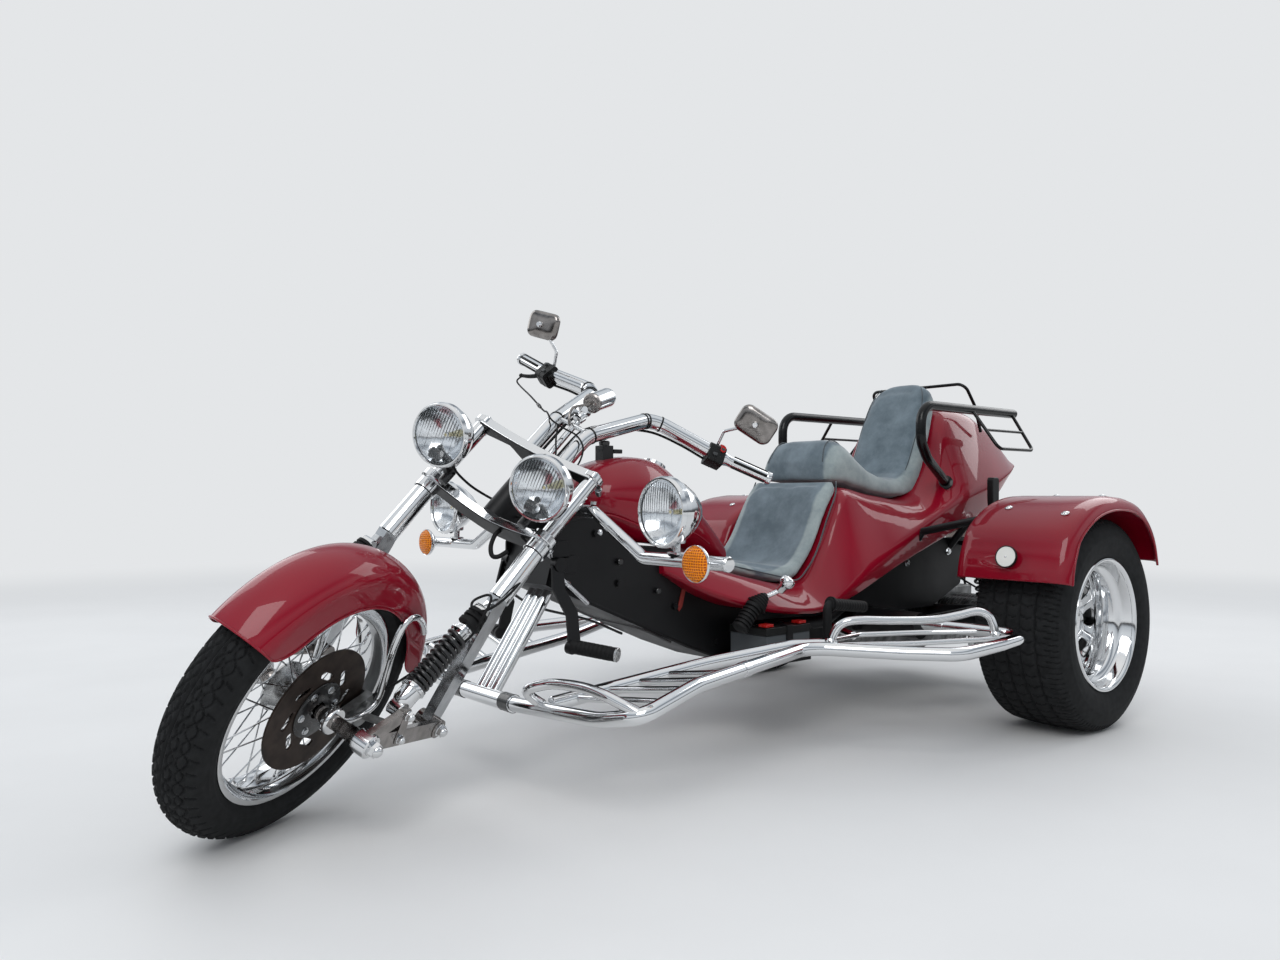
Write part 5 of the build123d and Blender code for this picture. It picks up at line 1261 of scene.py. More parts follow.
def yokes():
    """Bowed bars across the fork tubes, polished, with a thin black sheet under each as painted shade on the underside,
    and the stem between them.
    """
    span = [k / 15 for k in range(-15, 16)]
    upper = ([(180 * s, 54 + 19 * s ** 2) for s in span]
             + [(180 * s, 33 - 10 * s ** 2 - 62 * max(0, 1 - (2.25 * s) ** 2)) for s in reversed(span)])
    lower = ([(180 * s, 17 + 57 * abs(s) ** 1.5) for s in span]
             + [(180 * s, -44 + 56 * abs(s) ** 1.6) for s in reversed(span)])
    for name, outline, low, high in (("upper_yoke", upper, 1171, 1196), ("lower_yoke", lower, 951, 975)):
        steered(f"{name}_bar", slab(outline, low, high, level), chrome, name, bevel=2)
        # Painted shade: a thin black sheet under each bar darkens its underside
        steered(f"{name}_floor", slab(outline, low - 2, low + 0.2, level), powder, name, bevel=1.5)
    collar = [(-8, 22.3), (-8, 33), (-6, 35), (12, 35), (14, 33), (14, 22.3), (-8, 22.3)]
    bosses = [lathed([(0, 0), (0, 27), (2, 30), (16, 30), (18, 28), (18, 0)], (180, TUBE_E, 1177), Z, 56),
              lathed([(0, 0), (0, 15), (10, 15), (12, 12), (12, 0)], (180, TUBE_E, 1194), Z, 32),
              dome((180, TUBE_E, 1205), Z, 9, 6), lathed(collar, (180, TUBE_E, 964), Z, 56)]
    steered("yoke_bosses", both(*bosses), chrome, "upper_yoke")
    bolts = [shape for t in (964, 1186)
             for shape in (bar((196, 12, t), (196, -6, t), 10), hexagon((196, -6, t), (0, -1, 0), 13, 9))]
    steered("yoke_pinch_bolts", both(*bolts), road_chrome, bevel=0.6)
    stem = merged(bar((0, 0, 966), (0, 0, 1180), 15.8), hexagon((0, 0, 1195), Z, 34, 9), dome((0, 0, 1203), Z, 13, 7))
    steered("steering_stem", stem, road_chrome, "lower_yoke")
    rings = lathed(band(-2, 2, 27.4, 29), (180, 44.6, 925), (0, 0.06, 1), 48)
    steered("fork_cover_rings", both(rings), grip_rubber, sharp=60)


def lamp_brackets():
    """Black hinged brackets under the headlamps."""
    clamp = [bar((128, 92, 950), (128, 92, 992), 13), hexagon((128, 92, 992), Z, 19, 8),
             brick_at((132, 108, 988), (16, 30, 40), (0.3, 1, 0.3)), bar((128, 96, 986), (156, 172, 1000), 8.5),
             lathed(drum(-13, 13, 15), (152, 166, 978), X, 32)]
    steered("headlamp_brackets", both(*clamp), spring_black, "headlamps", bevel=1.0)
    nuts = both(hexagon((166, 166, 978), X, 13, 7), dome((128, 92, 1000), Z, 7, 6))
    steered("headlamp_bracket_nuts", nuts, road_chrome)


ARM_X = 204
PIVOT = (-98, 466)
SHOCK_FOOT = (95, 420)
SHACKLE = (52, 375)


def axle_ends():
    """Bright axle lugs, domed nuts, the shackles round the spring's foot and the bent rods of the mudguard."""
    axle = (AXLE_E, AXLE_T)
    rod = [(106, AXLE_E - 22, AXLE_T + 12), (104, 92, 340), (100, 56, 365), (100, 32, 396), (100, 36, 428),
           (100, 82, 470), (100, 134, 514), (100, 168, 556), (100, 170, 584), (98, 140, 604), (94, 92, 610),
           (88, 46, 607)]
    bright = [lathed([(-22, 0), (-22, 24), (-19, 27), (16, 27), (19, 24), (19, 0)], (ARM_X, *axle), X, 48),
              wire(rod, 8, 5, sides=20),
              lathed([(-9, 17), (-9, 29), (-6, 31), (6, 31), (9, 29), (9, 17), (-9, 17)], (108, *axle), X, 40)]
    steered("axle_lugs", both(*bright), chrome, "swing_arm", "front_mudguard", sharp=40)
    nuts = []
    for spot, out, size in ((axle, 19, 30), (PIVOT, 10, 26), (SHOCK_FOOT, 10, 20), (SHACKLE, 8, 18)):
        x = ARM_X + out
        nuts += [lathed(drum(0, 2, size * 0.62), (x, *spot), X, 32), hexagon((x + 2, *spot), X, size, size * 0.4),
                 dome((x + 2 + size * 0.38, *spot), X, size * 0.44, size * 0.42)]
    steered("axle_nuts", both(*nuts), chrome, "swing_arm")
    boot = [(0, 0), (0, 15), (6, 17), (12, 17), (14, 14), (20, 18), (34, 20), (40, 17), (74, 16), (90, 18), (118, 18),
            (118, 0)]
    dark = [link(SHOCK_FOOT, (AXLE_E + 4, AXLE_T + 12), 15, 18, -8, 8), link(PIVOT, axle, 22, 20, -7, 7),
            link(SHOCK_FOOT, SHACKLE, 14, 15, -12, 9), bar((150, *PIVOT), (ARM_X + 10, *PIVOT), 24, sides=40),
            bar((160, *SHOCK_FOOT), (ARM_X + 10, *SHOCK_FOOT), 10), bar((-ARM_X, *axle), (ARM_X, *axle), 9.8),
            lathed(boot, (66, *axle), X, 40)]
    # Painted dark reflections: the chrome links get a darkened base
    steered("swing_arm_links", both(*dark), chrome_painted_dark, "swing_arm", bevel=1.6)


def link(start, finish, half_start, half_end, inner, outer):
    """Flat link with rounded ends between two (e, t) points, its faces counted from the arm."""
    lean = atan2(finish[1] - start[1], finish[0] - start[0])
    outline = []
    for (e, t), half, first in ((start, half_start, lean + pi / 2), (finish, half_end, lean - pi / 2)):
        outline += [(e + half * cos(first + pi * k / 12), t + half * sin(first + pi * k / 12)) for k in range(13)]
    return slab(outline, ARM_X + inner, ARM_X + outer, upright)


def front_brake():
    """Caliper with its pistons, bridge bolts and the hose that loops up the leg."""
    e, t = AXLE_E - 122, AXLE_T + 58
    hose = [(78, e + 4, t + 40), (118, e + 20, t + 96), (160, 66, 560), (206, 84, 640), (214, 118, 700),
            (200, 112, 742), (176, 92, 752), (160, 96, 722), (178, 112, 700), (206, 104, 716), (212, 76, 780),
            (196, 40, 860), (160, 40, 930), (120, 40, 950)]
    steered("front_brake_hose", wire(hose, 3.2, 10, sides=12), grip_rubber, sharp=60)
    pads = merged(lathed([(0, 0), (0, 24), (4, 26), (12, 26), (14, 22), (14, 0)], (86, e, t), X, 40),
                  hexagon((94, e + 22, t + 26), X, 12, 8), hexagon((94, e - 22, t - 26), X, 12, 8),
                  bar((78, e + 4, t + 30), (78, e + 5, t + 44), 6))
    steered("front_caliper_pistons", pads, casting, bevel=0.8)


def cables():
    """Lever cable with its branch and adjuster, lamp cables, the hose loop and the looms along the risers."""
    lever = flowing([(-402, -276, 1576), (-408, -284, 1560), (-383, -280, 1545), (-230, -120, 1431), (-133, -62, 1373),
                     (-78, 10, 1330), (-44, 18, 1309), (4, 18, 1303), (48, 20, 1299), (82, 10, 1279), (92, -10, 1240),
                     (84, -20, 1196)])
    branch = [(-22, 19, 1306), (-12, 20, 1290), (7, 20, 1257), (31, 20, 1224), (45, 22, 1198)]
    right = [(-128, 150, 985), (-110, 134, 986), (-105, 98, 990), (-95, 32, 1008), (-72, -8, 1022), (-39, -31, 1033),
             (-8, -34, 1042)]
    left = [(128, 150, 985), (112, 120, 984), (104, 80, 988), (80, 20, 1004), (40, -24, 1020), (8, -34, 1040)]
    loop = [(44, 0, 952), (47, 10, 929), (58, 10, 897), (78, 10, 876), (94, 10, 882), (105, 10, 908)]
    steered("fork_cables", merged(tube(lever, 2.6, sides=10), wire(branch, 2.6), wire(right, 3.4), wire(left, 3.4),
                                  wire(loop, 6, sides=12)), grip_rubber, sharp=60)
    k = len(lever) // 3
    barrel = [(-16, 2), (-14, 4.2), (-4, 4.2), (-4, 5.4), (4, 5.4), (4, 4.2), (14, 4.2), (16, 2)]
    steered("cable_adjuster", lathed(barrel, lever[k], lever[k + 1] - lever[k], 16), spring_black)
    loom = [(26, -20, 1230), (28, -30, 1345), (44, -84, 1430), (66, -134, 1480), (118, -214, 1566), (200, -244, 1590),
            (290, -272, 1600)]
    for name, way in (("left", 1), ("right", -1)):
        under = flowing([(way * x, e, t) for x, e, t in loom])
        second = [point + Vector((way * -2, 6, -4)) for point in under]
        steered(f"bar_looms_{name}", merged(tube(under, 4, sides=10), tube(second, 3, sides=10)), grip_rubber, sharp=60)


# Frame and its small pieces
def frame_details():
    """Edge angles, bolts and brackets of the black spine and the tank's ignition switch."""
    side = bolt_heads([(105, -1470, 640), (105, -1300, 560), (105, -1180, 420), (105, -1010, 300), (105, -700, 300),
                       (105, -560, 360), (105, -1390, 500)], X)
    fixed("spine_bolts", both(side), powder)
    rail = wire([(102, -1575, 672), (102, -1480, 684), (102, -1440, 650), (102, -1330, 596), (102, -1200, 590)], 5, 6)
    floor_edge = tube([(102, -1618, 512), (102, -1131, 300), (102, -980, 246), (102, -470, 246)], 5, sides=10)
    fixed("spine_edges", both(rail, floor_edge), powder, sharp=60)
    plates = [plate((64, 46, 10), middle, 104, 111, upright) for middle in ((-1590, 600), (-1560, 560))]
    fixed("spine_gussets", both(*plates), powder, bevel=1.2)
    lock = merged(brick((-19, -1376, 830), (19, -1338, 888)),
                  lathed([(0, 0), (0, 15), (10, 16), (14, 14), (14, 0)], (0, -1357, 888), Z, 32),
                  plate((30, 34, 6), (0, -1316), 866, 878, level))
    fixed("ignition_switch", lock, spring_black, bevel=1.5)
    key = merged(plate((22, 28, 8), (-1357, 918), -1.2, 1.2, upright), bar((0, -1357, 900), (0, -1357, 908), 2))
    fixed("ignition_key", key, road_chrome, bevel=0.4)
    tab = slab([(-1150, 478), (-1136, 474), (-1152, 418), (-1164, 404), (-1170, 412), (-1164, 430)], 106, 110, upright)
    fixed("spine_tab", tab, tab_plastic, bevel=0.8)
    vent = [(0, 0), (0, 9), (12, 9), (14, 7), (14, 0)]
    pipe = [(112, -1600, 505), (124, -1590, 470), (126, -1500, 420), (118, -1330, 372), (112, -1200, 318)]
    pipes = [wire(pipe, 4, sides=12), lathed(vent, (105, -1250, 470), X, 24), lathed(vent, (105, -1390, 560), X, 24)]
    fixed("spine_pipes", both(*pipes), spring_black, sharp=40)
    rod = [bar((122, -1612, 540), (112, -1500, 452), 6), hexagon((119, -1580, 515), (-0.1, 0.78, -0.62), 15, 16)]
    fixed("brake_rod", both(*rod), road_chrome)


def pedals():
    """Brake and clutch pedals with ribbed rubber pegs and bright ends."""
    flat = [(-1608, 572), (-1590, 566), (-1596, 500), (-1566, 440), (-1572, 352), (-1592, 340), (-1608, 352),
            (-1602, 430), (-1634, 500), (-1626, 560)]
    dense = [(y + (y2 - y) * i / 6, z + (z2 - z) * i / 6)
             for (y, z), (y2, z2) in zip(flat, flat[1:] + flat[:1]) for i in range(6)]
    arm = slab(dense, -4, 5, lambda u, v, d: (122 + 50 * max(0.0, min(1.0, (560 - v) / 200)) + d, u, v))
    pins = [bar((106, -1602, 562), (134, -1602, 562), 20), bar((164, -1602, 352), (182, -1598, 350), 17)]
    fixed("pedal_arms", both(arm, *pins), powder, "foot_controls", bevel=1.5)
    start, end = Vector((178, -1600, 355)), Vector((288, -1542, 341))
    axis, length = end - start, (end - start).length
    rows = [(0, 0), (0, 17)]
    for spot in [length * (0.06 + 0.094 * k) for k in range(9)]:
        rows += [(spot, 18.6), (spot + 7.5, 18.6), (spot + 8.3, 17.8), (spot + 9.6, 17.8)]
    rows += [(length, 18.4), (length, 0)]
    fixed("pedal_rubbers", both(lathed(rows, start, axis, 48)), grip_rubber, "foot_controls", sharp=50)
    end_disc = [(0, 0), (0, 18.6), (4, 18.6), (5, 17.4), (5, 9), (5.6, 8.6), (5.6, 0)]
    fixed("pedal_end_discs", both(lathed(end_disc, end, axis, 48)), alloy, "foot_controls")


def hand_controls():
    """Gear lever with its knob and gaiter, and the parking lever."""
    boot, can = [(0, 0)], [(0, 0), (0, 18), (3, 21)]
    for k in range(5):
        boot += [(9 * k, 31 - 4 * k), (9 * k + 5, 33 - 4.2 * k), (9 * k + 9, 25 - 3.6 * k)]
    for k in range(6):
        can += [(5 + 12 * k, 25), (11 + 12 * k, 25), (12 + 12 * k, 20), (16 + 12 * k, 20)]
    gaiter = merged(lathed(boot + [(48, 10), (48, 0)], (260, -1000, 420), (0.2, 0.72, 0.66), 40),
                    lathed(can + [(78, 26), (88, 26), (90, 22), (90, 0)], (256, -1066, 358), (0.05, 0.68, 0.73), 40))
    fixed("gear_gaiter", gaiter, grip_rubber, "foot_controls", sharp=50)
    knob = [(0, 0), (0, 12), (2, 13), (20, 14.5), (26, 20), (32, 22), (44, 21.5), (50, 18), (53, 10), (54, 0)]
    collar = [(0, 20), (0, 23.6), (6, 23.6), (8, 20), (0, 20)]
    stick = merged(bar((266, -972, 444), (306, -934, 470), 7), lathed(knob, (300, -942, 464), (0.56, 0.3, 0.72), 48),
                   lathed(collar, (258, -1012, 417), (0.05, 0.68, 0.73), 40))
    fixed("gear_lever", stick, chrome, "foot_controls", sharp=40)
    handle = [(131, 590), (131, 640), (133, 690), (128, 730), (128, 800), (134, 808), (168, 808), (174, 800),
              (172, 730), (160, 690), (152, 640), (152, 590)]
    grip = merged(slab(handle, 340, 364, upright), brick((344, 128, 560), (360, 156, 600)))
    fixed("parking_lever_handle", grip, plastic, "hand_levers", bevel=4)
    base = merged(brick((228, 118, 560), (372, 162, 576)), bar((330, 141, 588), (376, 141, 588), 7))
    fixed("parking_lever_base", base, powder, "hand_levers", bevel=1.5)
    fixed("parking_lever_bolts", bolt_heads([(376, 141, 588)], X, 13, 9), road_chrome)


def battery_parts():
    """Battery in its tray: grey case, dark lid with caps, two red-capped posts and its strap."""
    fixed("battery_case", brick((152, -996, 262), (298, -804, 336)), battery_grey, "battery", bevel=3)
    caps = [lathed([(0, 0), (0, 9), (3, 9), (4, 7), (4, 0)], (225, -975 + 30 * k, 358), Z, 24) for k in range(6)]
    fixed("battery_lid", merged(brick((150, -998, 336), (300, -802, 358)), *caps), plastic, "battery", bevel=2)
    post = merged(bar((276, -972, 356), (276, -972, 366), 9), brick((262, -990, 360), (292, -958, 368)))
    fixed("battery_posts", merged(post, moved(post, (0, 144, 0))), red_cap, bevel=1.5)
    tray = merged(brick((106, -1000, 250), (300, -800, 262)), brick((296, -1000, 262), (300, -800, 276)),
                  brick((146, -910, 258), (303, -884, 361)))
    fixed("battery_tray", tray, powder, "battery", bevel=1)


# Engine and rear
def engine_parts():
    """Ribbed crankcase, finned barrels, pressed rocker covers with bails, fan shroud, belt and pulleys."""
    fixed("crankcase", brick((-103, 97, 182), (103, 423, 388)), casting, "engine", bevel=8)
    ribs = [brick((-104, 120 + 36 * k, 178), (104, 126 + 36 * k, 200)) for k in range(8)]
    sides = []
    for y in (185, 320):
        sides += [plate((124, 122, 40), (y, 300), x, x + 4, upright) for x in range(112, 266, 14)]
        sides.append(bar((104, y, 300), (290, y, 300), 46, sides=40))
    sides += [plate((262, 118, 14), (252, 300), x, x + 4, upright) for x in range(276, 326, 10)]
    sides.append(brick((272, 130, 252), (326, 376, 350)))
    fixed("cylinder_fins", merged(both(*sides), *ribs), casting, "engine")

    def tapered(u, v, d):
        share = (d - 328) / 28
        return (d, 252 + u * (1 - 0.1 * share), 286 + v * (1 - 0.2 * share))

    fixed("rocker_covers", both(slab(rounded_outline(226, 70, 22), 328, 356, tapered)), chrome, "engine", bevel=5)
    bail = [(336, 150, 318), (352, 170, 330), (360, 252, 322), (352, 334, 330), (336, 354, 318)]
    tubes = [tube([(120, y, 250), (290, y, 242)], 11) for y in (155, 215, 290, 350)]
    fixed("pushrod_tubes", both(wire(bail, 2.5, 6), *tubes), road_chrome, sharp=40)
    plugs = []
    for y in (185, 320):
        lead = [(300, y, 350), (296, y - 6, 384), (240, y - 20, 420), (150, 200, 446), (100, 240, 440)]
        plugs += [wire(lead, 3.6, 6), lathed([(0, 0), (0, 9), (26, 9), (30, 6), (30, 0)], (300, y, 346), Z, 20)]
    fixed("plug_leads", both(*plugs), grip_rubber, sharp=50)
    crank, fan = (0, 425, 300), (0, 400, 478)
    large = [(0, 0), (0, 70), (3, 84), (9, 87), (14, 80), (19, 87), (26, 87), (30, 80), (32, 30), (34, 28), (34, 0)]
    small = [(0, 0), (0, 52), (3, 61), (8, 61), (13, 50), (18, 61), (24, 61), (26, 20), (28, 18), (28, 0)]
    fixed("pulleys", merged(lathed(large, crank, Y), lathed(small, fan, Y, 56)), road_chrome, "engine", "fan_housing")
    rows = []
    for radius, foot, y, middle in ((-84, 300, 430, 380), (56, 478, 413, 380)):
        for a in [pi * k / 32 for k in range(33)]:
            x, z = radius * cos(a), foot + radius * sin(a)
            far = Vector((x, 0, z - middle)).normalized() * 8
            rows.append([(x, y - 5, z), (x + far.x, y - 6, z + far.z), (x + far.x, y + 6, z + far.z), (x, y + 5, z)])
    fixed("fan_belt", skinned(rows + [rows[0]], caps=False), grip_rubber, sharp=40)
    fixed("fan_shroud", plate((356, 152, 60), (0, 482), 112, 188, facing), powder, "fan_housing", bevel=6)
    body = [(0, 0), (0, 84), (8, 86), (14, 82), (22, 60), (26, 54), (150, 52), (180, 50), (186, 30), (190, 14),
            (212, 14), (212, 0)]
    strap = lathed(band(-9, 9, 52.5, 54), (0, 295, 478), Y, 48)
    fixed("generator", merged(lathed(body, (0, 190, 478), Y, 56), strap), casting, "fan_housing")
    stand = merged(brick((-28, 252, 392), (28, 338, 440)), brick((-88, 132, 388), (88, 178, 408)))
    fixed("generator_stand", stand, casting, "fan_housing", bevel=3)


def gearbox_parts():
    """Ribbed gearbox nose, brake drums with their bolts, axle tubes with gaiters."""
    rows = [(-440, 0), (-440, 70), (-434, 80)]
    for k in range(7):
        y, r = -420 + 17 * k, 84 + 7 * k
        rows += [(y, r), (y + 2, r + 6), (y + 7, r + 6), (y + 9, r + 1)]
    rows += [(-296, 128), (-200, 130), (-60, 130), (8, 130), (20, 138), (60, 152), (84, 163), (94, 163), (94, 0)]
    fixed("gearbox_case", lathed(rows, (0, 0, 300), Y, 72), casting, "gearbox")
    bolts = []
    for near, far in zip(around(10, 154, 10), around(10, 122, 10)):
        bolts += [hexagon((near[0], 96, 300 + near[1]), (0, -1, 0), 17, 12),
                  hexagon((far[0], -196, 300 + far[1]), (0, -1, 0), 13, 8)]
    fixed("gearbox_bolts", merged(*bolts), road_chrome)
    gaiter = [(0, 0), (0, 52)]
    for k in range(6):
        gaiter += [(6 + 12 * k, 54 - 2.4 * k), (12 + 12 * k, 46 - 2.4 * k)]
    fixed("axle_gaiters", both(lathed(gaiter + [(84, 35), (84, 0)], (110, 0, 309), (370, 0, 30), 48)), grip_rubber,
          sharp=50)
    axle = [bar((180, 0, 314.5), (472, 0, 338), 33, sides=40), bar((546, 0, 338), (724, 0, 338), 21.6, sides=40)]
    fixed("axle_tubes", both(*axle), powder, "gearbox", sharp=40)
    brake = [(468, 0), (468, 96), (474, 126), (480, 128), (500, 128), (502, 124), (508, 124), (510, 128), (540, 128),
             (547, 122), (549, 60), (549, 0)]
    fixed("brake_drums", both(lathed(brake, (0, 0, 338), X, 72)), casting, "gearbox")


def exhaust():
    """Silencer across the back with its bands, and a pipe and a tail pipe on each side."""
    end = [(0, 0), (0, 22), (83, 22), (85, 24), (91.5, 24), (92.5, 22), (92.5, 20), (30, 19), (30, 0)]
    half = [(260, 0), (260, 48), (256, 58), (248, 62), (236, 62), (232, 60)]
    can = lathed([(-x, r) for x, r in half] + half[::-1], (0, 505, 235), X, 72)
    route = [(250, 185, 200), (330, 300, 190), (300, 440, 205), (230, 480, 225)]
    parts = [lathed(end, (150, 504, 209), (0, 0.99, -0.1), 48), tube([(250, 185, 186), (250, 185, 240)], 20, sides=32),
             bent(route, [60, 60], 20), plate((64, 46, 14), (250, 185), 232, 240, level)]
    fixed("exhaust_system", merged(both(*parts), can), road_chrome, "exhaust", sharp=40)
    fixed("exhaust_bands", both(lathed(band(-9, 9, 60.4, 63.6), (120, 505, 235), X)), powder)


def rear_lights():
    """Round tail lamps and amber lamps on their rails, the plate's bolts and the rails' bolts."""
    for name, x, cup, lens, steps, finish in (
            ("tail_lamp", 400, [(455, 0), (455, 30), (462, 43), (474, 46), (540, 46), (543, 44), (543, 0)],
             [(520, 0), (520, 42), (549, 42), (556, 38), (559, 20), (560, 0)], 56, red_lens),
            ("rear_signal", 500, [(500, 0), (500, 20), (508, 34), (514, 36), (538, 36), (538, 0)],
             [(530, 0), (530, 33), (550, 33), (556, 29), (559, 14), (560, 0)], 48, amber)):
        fixed(f"{name}_cups", both(lathed(cup, (x, 0, 560), Y, steps)), chrome, "rear_lights")
        fixed(f"{name}_lenses", both(lathed(lens, (x, 0, 560), Y, steps)), finish, "rear_lights", sharp=40)
    rails = [bent([(215, 235, 560), (330, 420, 560), (470, 500, 560)], [80], 14, 28),
             bar((460, 498, 560), (500, 510, 560), 12), bar((50, 400, 560), (50, 566, 560), 9)]
    fixed("rear_light_rails", merged(both(*rails), bar((-300, 400, 560), (300, 400, 560), 12)), powder, "rear_lights",
          sharp=40)
    fixed("plate_bolts", bolt_heads([(x, 569, z) for x in (-75, 75) for z in (525, 625)], Y, 10, 8), road_chrome)
    side = bolt_heads([(236, 235, 560), (236, -420, 330), (236, 40, 540), (236, -215, 510)], X, 17, 13)
    fixed("rail_bolts", both(side), road_chrome)


def suspension_parts():
    """Coil springs on the rear dampers and bolts at both ends of the trailing arms."""
    foot, top = Vector((402, 17, 345)), Vector((331, 61, 640))
    run = top - foot
    spring = coil(foot, run, 25, 5, 7, 20, 10, lambda share: 0.22 + 0.6 * share)
    fixed("rear_springs", both(spring), spring_black, "rear_suspension", sharp=60)
    rows = [(0, 0), (0, 16), (0.16, 18), (0.17, 29), (0.2, 29), (0.2, 15), (0.82, 14), (0.83, 29), (0.86, 29),
            (0.87, 18), (1, 16), (1, 0)]
    damper = lathed([(share * run.length, r) for share, r in rows], foot, run, 40)
    fixed("rear_dampers", both(damper), road_chrome, "rear_suspension")
    arm = slab([(-450, 330), (-440, 306), (-400, 302), (-20, 300), (6, 316), (8, 352), (-10, 368), (-400, 356),
                (-440, 352)], 401, 415, upright)
    fixed("trailing_arms", both(arm), powder, "rear_suspension", bevel=2.5)
    bolts = bolt_heads([(415, -420, 330), (415, -12, 334), (415, -60, 334)], X, 19, 14)
    fixed("trailing_arm_bolts", both(bolts), road_chrome)


def board_details():
    """Rubber sleeves, the lamp bar's clamps and the passenger's ribbed grip bars."""
    sleeve = lathed(band(0, 44, 22.4, 23.6), (96, -1752.5, 222), X, 40)
    fixed("cross_sleeve_ends", both(sleeve), spring_black, sharp=40)
    clamp = [brick((172, -1556, 686), (206, -1524, 696)), hexagon((189, -1540, 720), Z, 15, 8),
             dome((240, -1556, 650), (0, -1, 0), 9, 8)]
    fixed("lamp_bar_clamps", both(*clamp), road_chrome, bevel=0.8)
    ridges = [(0, 0), (0, 22), (7, 22), (9, 17)]
    for k in range(12):
        ridges += [(12 + 12 * k, 17.4), (20 + 12 * k, 17.4), (21 + 12 * k, 16.6), (23 + 12 * k, 16.6)]
    grip = [lathed(ridges + [(158, 17), (158, 0)], (404, -838, 428), (0, 160, -20), 40),
            bent([(404, -852, 330), (404, -852, 428), (404, -826, 428)], [20], 13, 24),
            lathed([(0, 0), (0, 18), (4, 18), (5, 16), (5, 0)], (404, -838, 428), (0, -1, 0.1), 32)]
    fixed("grip_bar_rubbers", both(*grip), grip_rubber, sharp=50)


def running_boards():
    """Foot frames of bent chrome tube: rider's triangle with its toe hoop, passenger's frame with its guard hoop."""
    outer = [(140, -1752.5, 222), (450, -1722.5, 232), (576, -1700.5, 258), (540, -1500.6, 296), (440, -985, 320),
             (640, -822, 313), (762, -735, 315), (784, -560, 327), (788, -408, 338), (235, -430, 334)]
    inner = [(262, -1722.5, 238), (318, -1262.3, 290), (404, -1000, 322), (456, -882, 320)]
    toe = [(246, -1738, 236), (250, -1775, 262), (268, -1792, 284), (320, -1762, 300), (400, -1738, 302),
           (470, -1728, 295), (530, -1710, 276), (568, -1692, 260)]
    hoop = [(458, -906, 318), (463, -898, 350), (478, -884, 380), (506, -852, 392), (556, -752, 388),
            (610, -640, 386), (652, -568, 397), (684, -526, 408), (706, -500, 398), (718, -492, 372), (724, -490, 336)]
    parts = [bent(outer, [280, 42, 200, 100, 110, 90, 140, 82], 19), bent(inner, [380, 120], 19),
             wire(toe, 13, 6, sides=24), wire(hoop, 12, 6, sides=24), bar((398, -720, 324), (225, -640, 336), 12)]
    # The rider's rungs run from the inner tube to the outer one, which turns at y -1500
    for back in (64, 153.6, 243.2, 332.8):
        y = back - 1682.5
        near = (262 + 56 * back / 460, y - 40, 238 + 52 * back / 460)
        way = (y + 1500) / 515
        far = (540 - 100 * way, y, 296 + 24 * way) if way > 0 else (540 - 0.15 * (y + 1500), y, 0.17 * (y + 1700) + 262)
        parts.append(bar(near, far, 9))
    # The passenger's rungs run along the outer tube
    parts.append(bent([(404, -900, 321), (396, -690, 324), (500, -530, 328), (650, -408, 336)], [60, 300], 8, 20))
    parts.append(bent([(462, -878, 319), (600, -706, 324), (700, -548, 330), (766, -424, 337)], [60, 300], 8, 20))
    for spot, way in (((501, -1300, 305), (-100, 515, 24)), ((500, -419, 335), (1, 0.04, 0))):
        parts.append(lathed(band(-14, 14, 18.6, 21), spot, way, 40))
    for spot in ((458, -905, 337), (724, -490, 347)):
        parts.append(lathed([(0, 12), (0, 17), (5, 14), (5, 12), (0, 12)], spot, Z, 32))
    fixed("running_boards", both(*parts), chrome, "running_board_left", "running_board_right", sharp=40)


def rack_and_armrests():
    """Armrest hoops bent in smooth curves, the thin rack hoop behind the backrest and the hanging side wings."""
    route = [(250, 6, 790), (302, -190, 872), (310, -238, 930), (310, -236, 1052), (310, 372, 1052)]
    rest = bent(route, [90, 60, 66], 17)
    flange = lathed([(0, 0), (0, 27), (5, 27), (8, 20), (8, 0)], (250, 6, 788), (0.2, -0.9, 0.35), 32)
    fixed("armrest_tubes", both(rest, flange), enamel, "armrests", sharp=40)
    wing = bent([(318, 75, 1046), (418, 77, 908), (418, 312, 908), (318, 347, 1046)], [24, 24], 6, 16)
    hoop = bent([(216, 300, 985), (214, 262, 1085), (212, 196, 1164), (-212, 196, 1164), (-214, 262, 1085),
                 (-216, 300, 985)], [60, 34, 34, 60], 6, 16)
    fixed("rack_tubes", merged(both(wing, bar((368, 76, 977), (368, 330, 977), 5)), hoop), enamel, "luggage_rack",
          sharp=40)


# Camera, floor and light
BACKDROP = "#E4E6E8"
FLOOR_HALF = 90


def studio_floor():
    """Pale floor that fades into the backdrop far away."""
    material = surface("pale_floor", "plate_white", "#C9C8C5", 0.75,
                       tones=(900, 4.0, (0.3, "#E2E1DF"), (0.7, "#E7E6E4")))
    tree = material.node_tree
    spot = add(tree, "ShaderNodeNewGeometry").outputs["Position"]
    away = add(tree, "ShaderNodeVectorMath", links={0: spot}, operation="LENGTH").outputs["Value"]
    fade = add(tree, "ShaderNodeMapRange", {"From Min": 2.6, "From Max": 9.0}, {"Value": away},
               interpolation_type="SMOOTHSTEP")
    haze = add(tree, "ShaderNodeEmission", {"Color": colour(BACKDROP), "Strength": 1.0})
    shader = tree.nodes["Principled BSDF"]
    blend = add(tree, "ShaderNodeMixShader",
                links={0: fade.outputs["Result"], 1: shader.outputs[0], 2: haze.outputs[0]})
    tree.links.new(blend.outputs[0], tree.nodes["Material Output"].inputs["Surface"])
    mesh = bpy.data.meshes.new("floor")
    corners = [(x * FLOOR_HALF, y * FLOOR_HALF, 0) for x, y in ((-1, -1), (1, -1), (1, 1), (-1, 1))]
    mesh.from_pydata(corners, [], [(0, 1, 2, 3)])
    mesh.materials.append(material)
    link_object("floor", mesh)


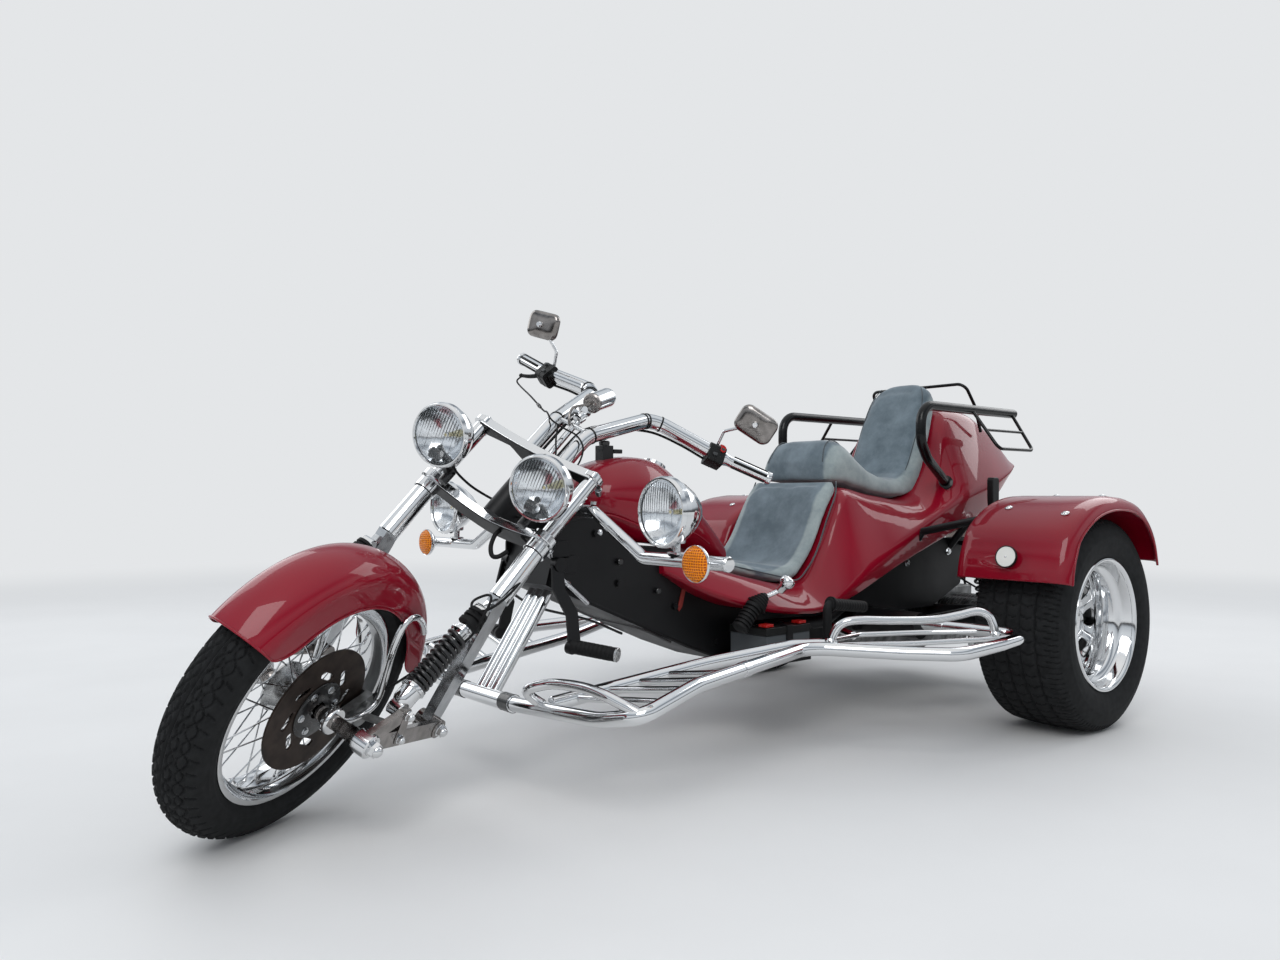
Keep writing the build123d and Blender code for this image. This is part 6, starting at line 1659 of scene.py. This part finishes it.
def studio_light():
    """A sky that mirrors as soft boxes over a dark floor, plain to the camera, and three area lamps."""
    world = bpy.data.worlds.new("studio")
    bpy.context.scene.world = world
    world.use_nodes = True
    tree = world.node_tree
    coords = add(tree, "ShaderNodeTexCoord").outputs["Generated"]
    split = add(tree, "ShaderNodeSeparateXYZ", links={"Vector": coords})
    height = add(tree, "ShaderNodeMapRange", {"From Min": -1.0, "From Max": 1.0}, {"Value": split.outputs["Z"]})
    height = height.outputs["Result"]
    sharp = ramp(tree, height, (0.0, "#55534F"), (0.495, "#403F3D"), (0.53, "#5A5D61"), (0.56, "#C4CAD1"),
                 (0.68, "#E9EEF3"), (0.78, "#7D858F"), (0.86, "#DCE3EA"), (1.0, "#FFFFFF"))
    soft = ramp(tree, height, (0.0, "#8A8A88"), (0.5, "#A4A8AD"), (1.0, "#D6DDE6"))
    path = add(tree, "ShaderNodeLightPath").outputs
    glossy = calc(tree, "MAXIMUM", path["Is Glossy Ray"], path["Is Transmission Ray"])
    lit = add(tree, "ShaderNodeMix", links={0: glossy, 6: soft, 7: sharp}, data_type="RGBA").outputs[2]
    mix = add(tree, "ShaderNodeMix", {7: colour(BACKDROP)}, {0: path["Is Camera Ray"], 6: lit}, data_type="RGBA")
    background = tree.nodes["Background"].inputs
    tree.links.new(mix.outputs[2], background["Color"])
    background["Strength"].default_value = 1.0
    for name, spot, aim, size, power in (
            ("key", (3.2, -3.4, 4.6), (0, -0.2, 0.5), 3.2, 130),
            ("fill", (-4.5, -1.5, 3.6), (0, 0, 0.5), 3.5, 60),
            ("back", (0.5, 4.5, 3.8), (0, 0, 0.6), 3.0, 70)):
        data = bpy.data.lights.new(name, "AREA")
        data.size, data.energy = size, power
        light = link_object(name, data)
        light.location = spot
        light.rotation_euler = (Vector(aim) - Vector(spot)).to_track_quat("-Z", "Y").to_euler()


def photo_camera():
    """The photograph's camera, solved from the wheels."""
    data = bpy.data.cameras.new("camera")
    data.sensor_width, data.lens, data.clip_end = 36, 26.99, 400
    camera = link_object("camera", data)
    camera.location = (2.1925, -2.06408, 0.7479)
    camera.rotation_euler = (radians(90.84), 0, radians(50.02))
    bpy.context.scene.camera = camera
    bpy.context.scene.view_settings.view_transform = "Standard"


photo_camera()
studio_floor()
studio_light()
for node, finish in KEPT.items():
    dress(node, finish)
front_tyre()
front_wheel()
rear_tyres()
rear_wheels()
front_mudguard()
rear_mudguards()
tank_and_body()
rider_seat()
passenger_seat()
lamps("headlamp", "headlamps", "steering", on_lamp_arm)
lamps("side_lamp", "side_lamps", "chassis", lambda shape: moved(shape, (520, -1600, 706)))
for build in (lamp_mounts, turn_signals, shocks, handlebars, switches, mirrors, instrument, yokes, lamp_brackets,
              axle_ends, front_brake, cables, frame_details, pedals, hand_controls, battery_parts, engine_parts,
              gearbox_parts, exhaust, rear_lights, suspension_parts, board_details, running_boards, rack_and_armrests):
    build()
